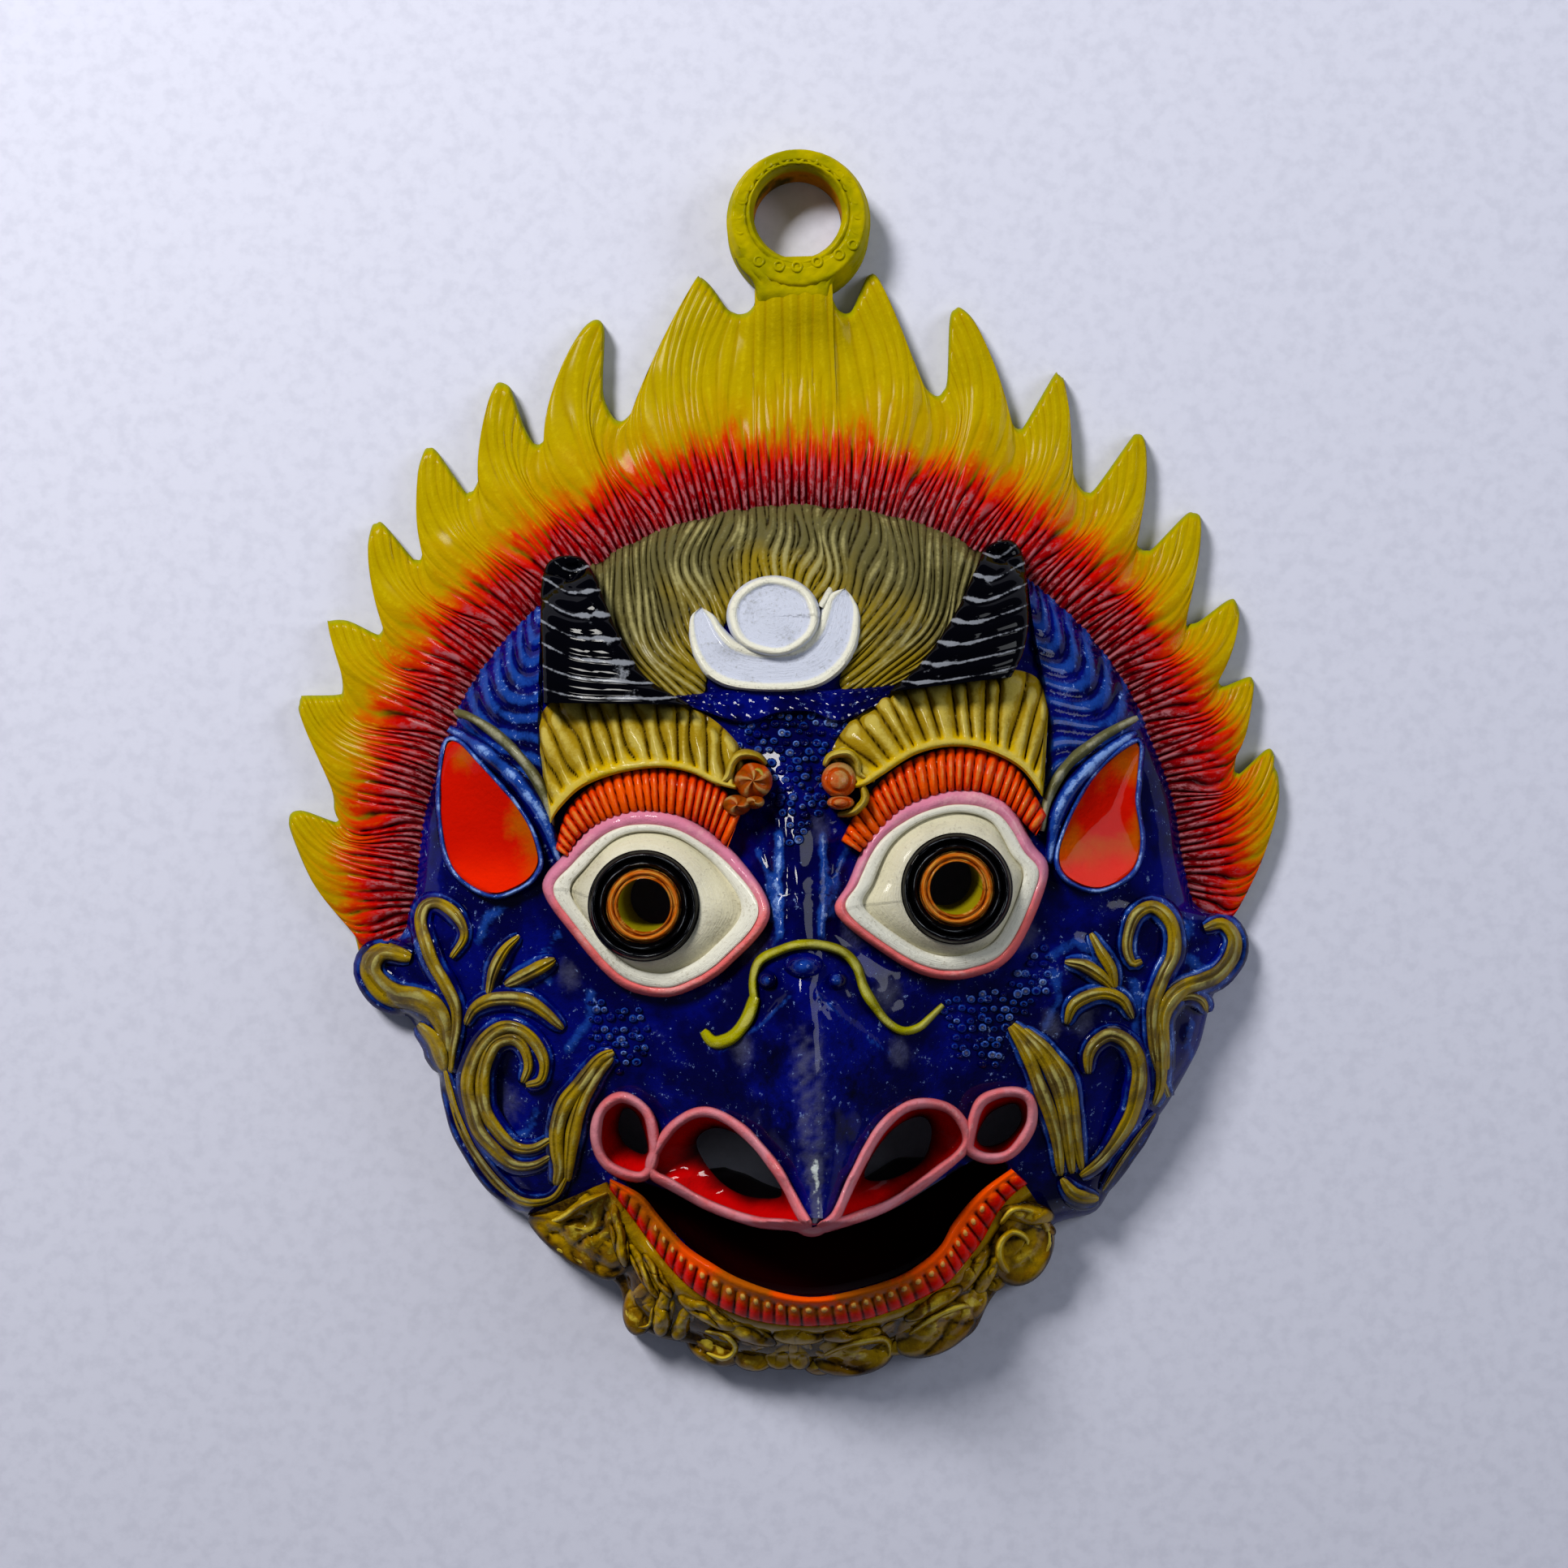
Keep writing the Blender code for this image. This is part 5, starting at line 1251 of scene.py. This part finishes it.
def iris_enamel():
    """A scratched orange ring inside, black outside, olive on the wall of the pupil."""
    paint = Recipe("iris enamel")
    ridge, radius, wall = paint.mark("ridge"), paint.mark("radius"), paint.mark("wall")
    small = paint.noise(800.0, 4.0, sharp=0.65)
    scratch = paint.noise(1.0, 4.0, paint.point(paint.mark("along") * 9.0, radius * 26.0), 0.7)
    orange = paint.over(rgb(104, 28, 0), rgb(196, 94, 10), paint.between(ridge + 1.1 * (scratch - 0.5), 0.2, 0.7))
    orange = paint.over(orange, rgb(196, 156, 66), paint.between(scratch, 0.48, 0.62) * 0.85)
    black = paint.over(rgb(3, 3, 5), rgb(132, 138, 146), paint.between(ridge * 0.3 + scratch, 0.82, 0.94) * 0.7)
    colour = paint.over(orange, black, paint.between(radius + 0.06 * (small - 0.5), 0.36, 0.39))
    colour = paint.over(colour, rgb(140, 128, 8), paint.between(wall, 0.06, 0.12))
    return paint.finish(colour, 0.14 + 0.15 * small, small + 1.5 * scratch, depth=0.0002, coat=0.5, haze=0.04)


EYE_WHITE = white_enamel("eye white enamel", rgb(206, 200, 172), rgb(232, 230, 216), rgb(134, 118, 78), gloss=0.18)
lids.fire("eye_lids", PINK, "pink_enamel")
whites.fire("eye_whites", EYE_WHITE, "white_enamel")
irises.fire("irises", iris_enamel(), "black_enamel")

# The ears: red leaf shapes dished into a blue rolled rim, heavy on the side of the head, under a
# rubbed olive ridge. Glossy red enamel over orange.
EAR_LEFT = ((550, 912), (543, 939), (540, 977), (542, 1015), (548, 1050), (560, 1076), (584, 1096), (610, 1105),
            (632, 1099), (654, 1086), (666, 1067), (664, 1046), (653, 1016), (633, 986), (612, 962), (588, 936),
            (567, 914))
EAR_RIGHT = ((1402, 912), (1404, 957), (1402, 990), (1408, 1040), (1394, 1078), (1350, 1098), (1308, 1078),
             (1306, 1036), (1346, 957))
EAR_BANKS = (((548, 896), (572, 908), (604, 932), (642, 968), (670, 1012), (690, 1062)),
             ((1400, 902), (1358, 932), (1320, 972), (1300, 1014), (1294, 1064)))
EAR_RIDGES = (((554, 874), (584, 886), (614, 907), (644, 937), (664, 966), (676, 996), (680, 1022)),
              ((1402, 884), (1358, 908), (1314, 944), (1292, 984), (1284, 1024)))
EAR_RIM_HEIGHT = 0.0046
EAR_BANK_HEIGHT = 0.0058


def ear_rise(s, t, x, y):
    return 0.0014 + 0.0026 * t ** 2 - 0.0018 * ramp(t, 0.94, 1), 0.35 + 0.4 * bump(t - 0.5, 0.5)


def ear_enamel():
    """Glossy red over orange, redder towards the lobe."""
    paint = Recipe("ear red enamel")
    broad = paint.noise(55.0, 2.0)
    small = paint.noise(700.0, 4.0, sharp=0.6)
    low = paint.node("SeparateXYZ", {}, {0: paint.spot}, 1)
    colour = paint.over(rgb(188, 14, 0), rgb(172, 74, 0), paint.between(broad + 0.1 * small, 0.5, 0.66))
    colour = paint.over(colour, rgb(222, 30, 0), paint.between(low + 0.01 * broad, -0.012, -0.022))
    return paint.finish(colour, 0.14 + 0.1 * small, small + 3.0 * broad, depth=0.0003, coat=0.25, haze=0.05)


OLIVE_GREY = rgb(92, 90, 56)
RIDGE_PAINT = enamel("ear ridge paint", OLIVE_GREY, rgb(30, 26, 14), rgb(158, 156, 132), OLIVE_GREY,
                     wear=0.8, gloss=0.34)
ears, ear_rims, ear_ridges = Casting("ridge"), Casting("ridge", "wear_dust_and_gleam", "inside"), Casting("ridge")
for ear, bank, ridge in zip((EAR_LEFT, EAR_RIGHT), EAR_BANKS, EAR_RIDGES):
    ears.cushion(ear, columns=72, rows=18, rise=ear_rise)
    ear_rims.ribbon(ear, width=9, height=EAR_RIM_HEIGHT, closed=True)
    # The bank's crest is marked high, so the blue enamel lightens it as a painted highlight.
    ear_rims.ribbon(bank, width=26, height=EAR_BANK_HEIGHT, rows=12,
                    profile=lambda t: (half_round(t), 0.3 + 0.75 * half_round(t) ** 3))
    ear_ridges.ribbon(ridge, width=17, height=EAR_BANK_HEIGHT, taper=(0.5, 0.5))
ears.fire("ears", ear_enamel(), "red_enamel")
ear_rims.fire("ear_rims", BLUE, "blue_enamel")
ear_ridges.fire("ear_ridges", RIDGE_PAINT, "gold_enamel")

# Cheek scrolls: brown-gold leaf-work in thin rolled stems on wider blue beads. The last lines run
# down the edge of the cheeks. Each has the width of its stem and its course.
SCROLLS = (
    (17, ((556, 1180), (572, 1153), (562, 1128), (541, 1113), (524, 1116), (518, 1135), (524, 1160), (534, 1188),
          (548, 1212), (561, 1240), (562, 1265), (557, 1294), (555, 1322))),
    (30, ((506, 1180), (475, 1172), (460, 1181), (457, 1198), (470, 1217), (488, 1227), (512, 1231), (534, 1242),
          (546, 1265), (550, 1300))),
    (20, ((515, 1262), (536, 1284), (548, 1320))),
    (12, ((548, 1318), (560, 1366), (574, 1402), (592, 1432), (614, 1459), (640, 1479), (664, 1482), (685, 1473),
         (700, 1446))),
    (18, ((573, 1263), (583, 1244), (601, 1233), (625, 1230), (650, 1234), (671, 1247), (694, 1268))),
    (14, ((601, 1228), (608, 1196), (622, 1170), (640, 1153))),
    (19, ((622, 1214), (650, 1200), (684, 1182))),
    (19, ((648, 1337), (666, 1331), (670, 1307), (657, 1282), (636, 1267), (615, 1268), (594, 1286), (580, 1314),
          (576, 1342), (582, 1370), (590, 1394), (608, 1415), (632, 1435), (657, 1436), (680, 1424))),
    (18, ((644, 1334), (651, 1314), (646, 1293), (632, 1281), (611, 1286), (599, 1307), (594, 1335), (597, 1366),
          (611, 1391), (632, 1412), (657, 1415), (684, 1400))),
    (21, ((756, 1296), (737, 1307), (716, 1335), (697, 1359), (687, 1387), (686, 1415), (689, 1440), (685, 1461))),
    (20, ((754, 1302), (732, 1328), (716, 1359), (707, 1391), (702, 1426), (699, 1456))),
    (18, ((1407, 1184), (1396, 1187), (1389, 1170), (1391, 1148), (1400, 1127), (1418, 1117), (1435, 1126),
          (1446, 1146), (1446, 1176), (1434, 1202), (1423, 1233), (1420, 1260), (1423, 1294), (1431, 1328),
          (1440, 1352))),
    (22, ((1484, 1144), (1506, 1138), (1521, 1155), (1518, 1178), (1502, 1199), (1482, 1209), (1462, 1216),
          (1445, 1229), (1434, 1250), (1433, 1280), (1438, 1324))),
    (10, ((1452, 1232), (1468, 1228), (1482, 1234), (1488, 1248))),
    (15, ((1344, 1150), (1356, 1172), (1370, 1196), (1374, 1220))),
    (16, ((1312, 1185), (1336, 1190), (1358, 1204), (1374, 1220))),
    (16, ((1314, 1262), (1322, 1240), (1340, 1228), (1363, 1224), (1384, 1233), (1396, 1255))),
    (20, ((1341, 1323), (1341, 1301), (1350, 1285), (1367, 1275), (1384, 1280), (1397, 1294), (1404, 1316),
          (1402, 1345), (1392, 1379), (1373, 1410), (1353, 1433), (1331, 1449))),
    (19, ((1244, 1265), (1266, 1300), (1280, 1336), (1294, 1373), (1303, 1408), (1307, 1449))),
    (20, ((1248, 1262), (1277, 1292), (1300, 1330), (1311, 1366), (1316, 1400), (1321, 1446))),
    (18, ((1262, 1268), (1293, 1297), (1314, 1328), (1322, 1362), (1325, 1396), (1333, 1442))),
    (17, ((1308, 1452), (1322, 1470), (1338, 1476), (1354, 1477))),
    (16, ((1424, 1240), (1429, 1270), (1431, 1306), (1430, 1338), (1422, 1362))),
    (7, ((1424, 1372), (1400, 1404), (1378, 1436), (1358, 1468))),
)
STEM_HEIGHT = 0.0028
BEAD_HEIGHT = 0.0021
BEAD_MARGIN = 17


def stem_profile(t):
    """A rolled stem with a shallow groove beside its crest."""
    height = half_round(t) ** 0.7 * (1 - 0.2 * bump(t - 0.6, 0.16))
    return height, half_round(t) ** 1.5 * (1 - 0.55 * bump(t - 0.6, 0.14))


def bead_profile(pale):
    """A low bead, lightened by `pale` along both edges as a painted highlight in the blue."""
    return lambda t: (half_round(t), 0.3 + pale * bump(np.abs(t - 0.5) - 0.34, 0.17))


SCROLL_GOLD = enamel("scroll gold paint", rgb(156, 128, 12), rgb(44, 24, 4), rgb(178, 168, 96), rgb(96, 78, 36),
                     wear=0.85, gloss=0.3, fine=700.0)
scrolls, beads = Casting("ridge"), Casting("ridge", "wear_dust_and_gleam", "inside")
for width, line in SCROLLS:
    scrolls.ribbon(line, width * 1.1, STEM_HEIGHT + 0.00005 * width, rows=11, taper=(0.35, 0.3), step=4.4,
                   profile=stem_profile)
    # The upper scrolls on the right get the strongest painted highlights along their beads.
    right_upper = line[0][0] > HEAD[0] and line[0][1] < 1300  # the scrolls with the palest edges
    beads.ribbon(line, width + BEAD_MARGIN, BEAD_HEIGHT, rows=8, taper=(0.45, 0.45), step=6,
                 profile=bead_profile(0.7 if right_upper else 0.5))
scrolls.fire("cheek_scrolls", SCROLL_GOLD, "gold_enamel")
beads.fire("scroll_beads", BLUE, "blue_enamel")

# The cere line over the beak: a thin wavy olive welt with a thick left end, and small blue bosses
# on each side of the nose.
CERE_LINES = ((14, ((929, 1234), (928, 1206), (936, 1184), (958, 1172), (985, 1164), (1014, 1165), (1040, 1174),
                    (1056, 1192), (1064, 1216), (1074, 1234), (1092, 1258), (1112, 1270), (1132, 1266),
                    (1148, 1252), (1162, 1238))),
              (19, ((930, 1228), (920, 1256), (902, 1278), (880, 1284), (866, 1270))))
BOSSES = (((945, 1207), 12, 12), ((1033, 1208), 12, 12), ((990, 1189), 26, 16))
OLIVE = enamel("cere olive enamel", rgb(158, 154, 0), rgb(44, 42, 2), rgb(190, 186, 90), rgb(126, 118, 6),
               wear=0.7, gloss=0.26, coat=0.6)
cere = Casting("ridge")
for width, line in CERE_LINES:
    cere.ribbon(line, width, height=0.0028, taper=(0.7, 0.5))
cere.fire("cere_line", OLIVE, "gold_enamel")
bosses = Casting("ridge", "wear_dust_and_gleam", "inside")
for boss in BOSSES:
    bosses.cushion(oval(*boss), columns=40, rows=12,
                   rise=lambda s, t, x, y: (0.0036 * (1 - t * t) ** 0.6, 0.4 + 0.5 * (1 - t)))
bosses.fire("beak_bosses", BLUE, "blue_enamel")

# The openings of the upper jaw: rolled pink rims round red funnels that narrow to the holes, darkened towards them
# as painted shade. The mouth has a lining painted near black as painted shade, turned in from its edge and narrowed
# to a throat behind the beak.
# Each funnel has its rim, its hole and its depth.
FUNNELS = (
    (CORNER_LEFT, ((762, 1388), (770, 1366), (786, 1376), (798, 1412), (792, 1422), (770, 1410)), 0.0080),
    (CORNER_RIGHT, ((1204, 1400), (1220, 1372), (1250, 1360), (1258, 1380), (1240, 1404), (1214, 1412)), 0.0080),
    (NOSTRIL_LEFT, ((858, 1408), (880, 1390), (915, 1402), (948, 1440), (962, 1474), (915, 1472),
                    (880, 1448)), 0.0110),
    (NOSTRIL_RIGHT, ((1066, 1452), (1076, 1422), (1105, 1388), (1136, 1376), (1148, 1395), (1136, 1430),
                     (1100, 1452)), 0.0110),
)
RIM_WIDTH = 14
RIM_HEIGHT = 0.0034
BEAK_TIP_RIM = ((974, 1508), (1000, 1518), (1026, 1508))
FUNNEL_COLUMNS = 96
LINING_COLUMNS = 144
THROAT_SHARE = 0.5
THROAT_SHIFT = (0, 44)


def matched(line, other):
    """The other closed line, started and turned so that its points face those of the first."""
    best = other
    for way in (other[:-1], other[:-1][::-1]):
        for shift in range(0, len(way), 2):
            tried = np.roll(way, shift, axis=0)
            if np.hypot(*(tried - line[:-1]).T).sum() < np.hypot(*(best[:-1] - line[:-1]).T).sum():
                best = np.vstack((tried, tried[:1]))
    return best


def red_enamel():
    """Glossy red, nearly black towards the holes as painted shade."""
    paint = Recipe("funnel red enamel")
    ridge = paint.mark("ridge")
    broad = paint.noise(130.0, 3.0)
    small = paint.noise(700.0, 4.0, sharp=0.6)
    colour = paint.over(rgb(22, 0, 1), rgb(190, 2, 4), paint.between(ridge + 0.35 * (broad - 0.5), 0.1, 0.7))
    return paint.finish(colour, 0.16 + 0.14 * small, small + 2.0 * broad, depth=0.00035, coat=0.5, haze=0.04)


def funnel_rise(depth):
    """Inward from the rim, t = 0, down to the hole, its ridge falling so that the red darkens there as painted
    shade.
    """
    return lambda s, t, x, y: (0.0010 - depth * t ** 0.9 + 0.0003 * waver(x, y, 12), 1 - 0.8 * t)


def lining_rise(s, t, x, y):
    """From the mouth's edge, t = 0, down to the back plane, marked as a deep groove so that it is painted near
    black, as painted shade inside the mouth.
    """
    return (0.0012 - face_height(x, y)) * t ** 0.7 - 0.001 * (1 - t), -0.4


RIM_PINK = enamel("rim pink enamel", rgb(214, 134, 146), rgb(110, 30, 44), rgb(232, 190, 190), rgb(214, 104, 110),
                  wear=0.6, gloss=0.22, coat=0.5, haze=0.05)
rims, funnels = Casting("ridge"), Casting("ridge")
for line, hole, depth in FUNNELS:
    rims.ribbon(line, RIM_WIDTH, RIM_HEIGHT, rows=10, step=3, closed=True,
                profile=lambda t: (half_round(t), 0.25 + 0.5 * half_round(t)))
    rim = rim_line(line, FUNNEL_COLUMNS)
    funnels.strip(rim, matched(rim, rim_line(hole, FUNNEL_COLUMNS)), rows=14, rise=funnel_rise(depth), closed=True,
                  shell=0.0016)
rims.ribbon(BEAK_TIP_RIM, RIM_WIDTH, RIM_HEIGHT, rows=10, step=3)
rim = rim_line(MOUTH, LINING_COLUMNS)
funnels.strip(rim, shrink(rim, THROAT_SHARE) - THROAT_SHIFT, rows=12, rise=lining_rise, closed=True, shell=0.010)
rims.fire("jaw_rims", RIM_PINK, "pink_enamel")
funnels.fire("jaw_funnels", red_enamel(), "red_enamel")

# The lower lip: a red band with a rolled upper edge, nicked across with ribs that carry small beads.
LIP_UPPER = ((752, 1452), (790, 1472), (814, 1500), (845, 1534), (877, 1556), (911, 1575), (959, 1592),
             (1000, 1598), (1043, 1592), (1101, 1575), (1135, 1556), (1159, 1534), (1174, 1507), (1193, 1483),
             (1215, 1462), (1246, 1440))
LIP_LOWER = ((750, 1464), (778, 1500), (799, 1529), (826, 1563), (853, 1589), (887, 1611), (923, 1625),
             (959, 1632), (1000, 1634), (1053, 1629), (1101, 1615), (1135, 1600), (1164, 1584), (1186, 1560),
             (1210, 1529), (1227, 1498), (1244, 1476), (1266, 1458))
LIP_RIBS = 36
LIP_HEIGHT = 0.0054


def lip_rise(s, t, x, y):
    number = LIP_RIBS * (s + 0.004 * np.sin(31 * s))
    rib = ribs(number)
    edge, field = bump(t - 0.16, 0.16), ramp(t, 0.3, 0.4)
    bead = bump(np.hypot(number % 1 - 0.5, (t - 0.46) * 2.6), 0.33) * plateau(s, 0.1, 0.16, 0.9, 0.94)
    height = LIP_HEIGHT * half_round(0.04 + 0.92 * t) ** 0.6
    height = height + 0.0006 * edge - 0.0013 * field * (1 - rib) + 0.0008 * bead
    return height, np.clip((1 - field) * (0.5 + 0.3 * edge) + field * rib * 0.8 + 0.9 * bead, 0, 1.2), t


def lip_enamel():
    """Orange above and red below, gilt with brown gold in patches, with painted highlights on the beads."""
    paint = Recipe("lip red enamel")
    ridge, down, along = paint.mark("ridge"), paint.mark("down"), paint.mark("along")
    small = paint.noise(800.0, 4.0, sharp=0.65)
    broad = paint.noise(60.0, 2.0)
    body = paint.over(rgb(236, 76, 0), rgb(214, 14, 0), paint.between(down + 0.3 * (small - 0.5), 0.35, 0.65))
    colour = paint.over(rgb(70, 2, 0), body, paint.between(ridge + 0.4 * (small - 0.5), 0.1, 0.6))
    gilt = paint.between(broad + 0.2 * (small - 0.5), 0.46, 0.58) * paint.between(down, 0.8, 0.55)
    colour = paint.over(colour, rgb(150, 84, 4), gilt * paint.between(along, 0.95, 0.6) * 0.8)
    # Painted highlights: pale gold glints on the beads and the highest crests.
    colour = paint.over(colour, rgb(214, 178, 88), paint.between(ridge + 0.5 * (small - 0.5), 0.92, 1.14) * 0.7)
    return paint.finish(colour, 0.2 + 0.2 * small, small, depth=0.00025, coat=0.3, haze=0.06)


lip = Casting("ridge", "down")
lip.strip(LIP_UPPER, LIP_LOWER, rows=24, rise=lip_rise, columns=288, sink=0.005, level=0.6)
lip.fire("lower_lip", lip_enamel(), "red_enamel")

# The beard: a smooth band under the lip, then curled leaf lobes folded over each other, each carved with one or two
# creases and fine wrinkles. Glossy olive gold, brown in the hollows as painted shade, with a yellow painted
# highlight on top. Each leaf has its outline and its number of folds.
BEARD_UPPER = ((748, 1456), (790, 1512), (814, 1545), (850, 1582), (892, 1608), (940, 1624), (990, 1630),
               (1045, 1626), (1099, 1613), (1144, 1592), (1174, 1568), (1204, 1528), (1230, 1482), (1262, 1458))
BEARD_LOWER = ((650, 1498), (700, 1556), (758, 1580), (774, 1622), (808, 1646), (850, 1656), (890, 1675),
               (948, 1686), (1003, 1688), (1046, 1694), (1086, 1674), (1140, 1666), (1196, 1644), (1226, 1594),
               (1300, 1514))
BEARD_LEAVES = (
    (((736, 1460), (704, 1478), (672, 1494), (650, 1500), (662, 1522), (688, 1546), (720, 1566), (752, 1578),
      (776, 1562), (784, 1530), (774, 1494), (758, 1464)), 2.2),
    (oval((700, 1530), 40, 15, 38), 1.0), (oval((762, 1520), 44, 11, 78), 1.0),
    (oval((793, 1566), 40, 10, 62), 1.0), (oval((810, 1572), 34, 8, 58), 1.0),
    (oval((788, 1612), 34, 21, 96), 0.5), (oval((818, 1616), 32, 14, 100), 0.5),
    (oval((842, 1630), 24, 13, 116), 0.5), (oval((872, 1618), 44, 13, 30), 1.0),
    (oval((918, 1642), 42, 12, 20), 0.5), (oval((882, 1658), 38, 24, 20), 1.0),
    (oval((928, 1670), 28, 20, 8), 0.5), (oval((960, 1668), 20, 20), 0.5),
    (oval((986, 1668), 20, 18, 90), 0.5), (oval((1010, 1678), 22, 17), 0.5),
    (oval((985, 1646), 34, 12), 0.5), (oval((1050, 1669), 52, 27, -6), 1.0),
    (oval((1050, 1644), 38, 11, -6), 0.5), (oval((1104, 1648), 30, 22, -24), 0.5),
    (oval((1152, 1636), 56, 32, -26), 1.0), (oval((1150, 1606), 42, 12, -30), 0.5),
    (oval((1192, 1606), 30, 22, -50), 0.5), (oval((1200, 1562), 36, 11, -60), 0.5),
    (oval((1218, 1562), 38, 12, -68), 0.5), (oval((1226, 1574), 20, 16, -50), 0.5),
    (oval((1258, 1538), 38, 48, 20), 0.5), (oval((1264, 1494), 36, 15, 10), 0.5),
    (oval((1286, 1512), 17, 9, 30), 0.5),
)
BEARD_CURLS = (
    (15, ((1232, 1508), (1250, 1490), (1278, 1496), (1292, 1522), (1284, 1554), (1260, 1574), (1236, 1560),
          (1232, 1534), (1248, 1518), (1266, 1528), (1262, 1546))),
    (13, ((748, 1470), (716, 1484), (690, 1502), (664, 1508))),
    (15, ((668, 1520), (690, 1540), (722, 1556), (752, 1562))),
    (12, ((1070, 1690), (1094, 1672), (1092, 1652), (1066, 1652), (1036, 1660), (1012, 1672))),
    (12, ((1202, 1622), (1196, 1610), (1176, 1612), (1146, 1626), (1118, 1646))),
    (11, ((868, 1640), (894, 1646), (906, 1662), (892, 1674), (868, 1666))),
    (9, ((776, 1596), (772, 1616), (784, 1634), (800, 1632), (804, 1610))),
)
LEAF_HEIGHT = 0.0036
CURL_HEIGHT = 0.0078


def collar_rise(s, t, x, y):
    edge = half_round(0.06 + 0.94 * t) ** 0.8
    band = half_round(np.clip(t / 0.24, 0, 1)) * (t < 0.24)
    return (0.0022 + 0.0018 * band) * edge + 0.0002, 0.2 + 0.6 * band


def leaf_rise(folds, number):
    """A plump lobe, wrinkled, with wavy creases along it; the lobes lie at three heights in turn."""
    lift = 0.0014 + 0.0004 * (number % 3)

    def rise(s, t, x, y):
        turn = 2 * math.pi * s
        u, v = t * np.cos(turn), t * np.sin(turn)
        lane = v / np.sqrt(1.15 - 0.9 * u * u) + 0.3 * np.sin(2.6 * u + number) + 0.2 * waver(x, y, 16) + 0.5
        plump = np.sqrt(np.clip(1 - t ** 2.2, 0, 1))
        inner = ramp(1 - t, 0, 0.12)
        ridge = ribs(folds * lane, 0.75) * inner + (1 - inner) * 0.6
        wrinkle = bump(waver(x, y, 12), 0.2) * plump
        height = lift + (LEAF_HEIGHT - 0.0018 * (1 - ridge) - 0.0005 * wrinkle) * plump + 0.0006 * waver(x, y, 8)
        return height, (0.1 + 0.9 * plump ** 0.8) * (0.1 + 0.9 * ridge) * (1 - 0.6 * wrinkle)
    return rise


# Its groove colour is painted shade and its crest colour a painted highlight.
BEARD_GOLD = enamel("beard gold paint", rgb(170, 134, 0), rgb(34, 14, 0), rgb(222, 196, 60), rgb(132, 92, 0),
                    wear=0.9, gloss=0.2, coat=0.6, haze=0.05)
beard = Casting("ridge")
beard.strip(BEARD_UPPER, BEARD_LOWER, rows=26, rise=collar_rise, columns=200, sink=0.004, level=0.35)
for number, (outline, folds) in enumerate(BEARD_LEAVES):
    beard.cushion(outline, columns=46, rows=12, rise=leaf_rise(folds, number), sink=0.003, level=0.6)
for width, line in BEARD_CURLS:
    beard.ribbon(line, width, CURL_HEIGHT, taper=(0.45, 0.45), level=0.5)
beard.fire("beard", BEARD_GOLD, "gold_enamel")

# A pale floor that the mask lies on, soft studio light and the camera straight above.
FLOOR_HALF = 3.0
FLOOR_GAP = 0.0006
SENSOR_WIDTH = 36
WORLD_TINT = (0.82, 0.88, 1.0, 1)
WORLD_STRENGTH = 0.12


def floor_plaster():
    """Matt lavender white with a fine grain."""
    paint = Recipe("floor plaster")
    grain = paint.noise(260.0, 5.0, sharp=0.6)
    colour = paint.over(rgb(216, 218, 236), rgb(208, 210, 228), paint.between(grain, 0.4, 0.7))
    return paint.finish(colour, 0.85, grain, depth=0.00003, coat=0.0)


floor_bm = bmesh.new()
bmesh.ops.create_grid(floor_bm, x_segments=8, y_segments=8, size=FLOOR_HALF)
bmesh.ops.translate(floor_bm, verts=floor_bm.verts, vec=(0, 0, -FLOOR_GAP))
floor = shape(floor_bm, "floor")
floor.data.materials.append(floor_plaster())


def area_light(name, spot, size, power, tint):
    """A soft box that looks from its place at the mask."""
    light = bpy.data.lights.new(name, "AREA")
    light.shape, light.size, light.energy, light.color = "SQUARE", size, power, tint
    lamp = bpy.data.objects.new(name, light)
    tilt = math.atan2(math.hypot(spot[0], spot[1]), spot[2])
    lamp.location = spot
    lamp.rotation_euler = (tilt, 0, math.atan2(spot[1], spot[0]) + math.pi / 2)
    bpy.context.collection.objects.link(lamp)


area_light("window light", spot=(-0.50, 0.65, 0.75), size=0.27, power=12.0, tint=(1.0, 0.98, 0.94))
area_light("fill light", spot=(0.85, 0.30, 0.55), size=0.45, power=3.3, tint=(0.92, 0.96, 1.0))
world = bpy.data.worlds.new("studio")
world.use_nodes = True
background = world.node_tree.nodes["Background"]
background.inputs["Color"].default_value = WORLD_TINT
background.inputs["Strength"].default_value = WORLD_STRENGTH
bpy.context.scene.world = world
camera_data = bpy.data.cameras.new("camera")
camera_data.sensor_width = SENSOR_WIDTH
camera_data.lens = SENSOR_WIDTH * SIGHT_DISTANCE / (SHEET * UNIT)
camera = bpy.data.objects.new("camera", camera_data)
camera.location = (-MIDDLE[0], -MIDDLE[1], SIGHT_DISTANCE)
camera.rotation_euler = (0, 0, -DRAWN_LEAN)
bpy.context.collection.objects.link(camera)
bpy.context.scene.camera = camera
bpy.context.scene.view_settings.view_transform = "Standard"
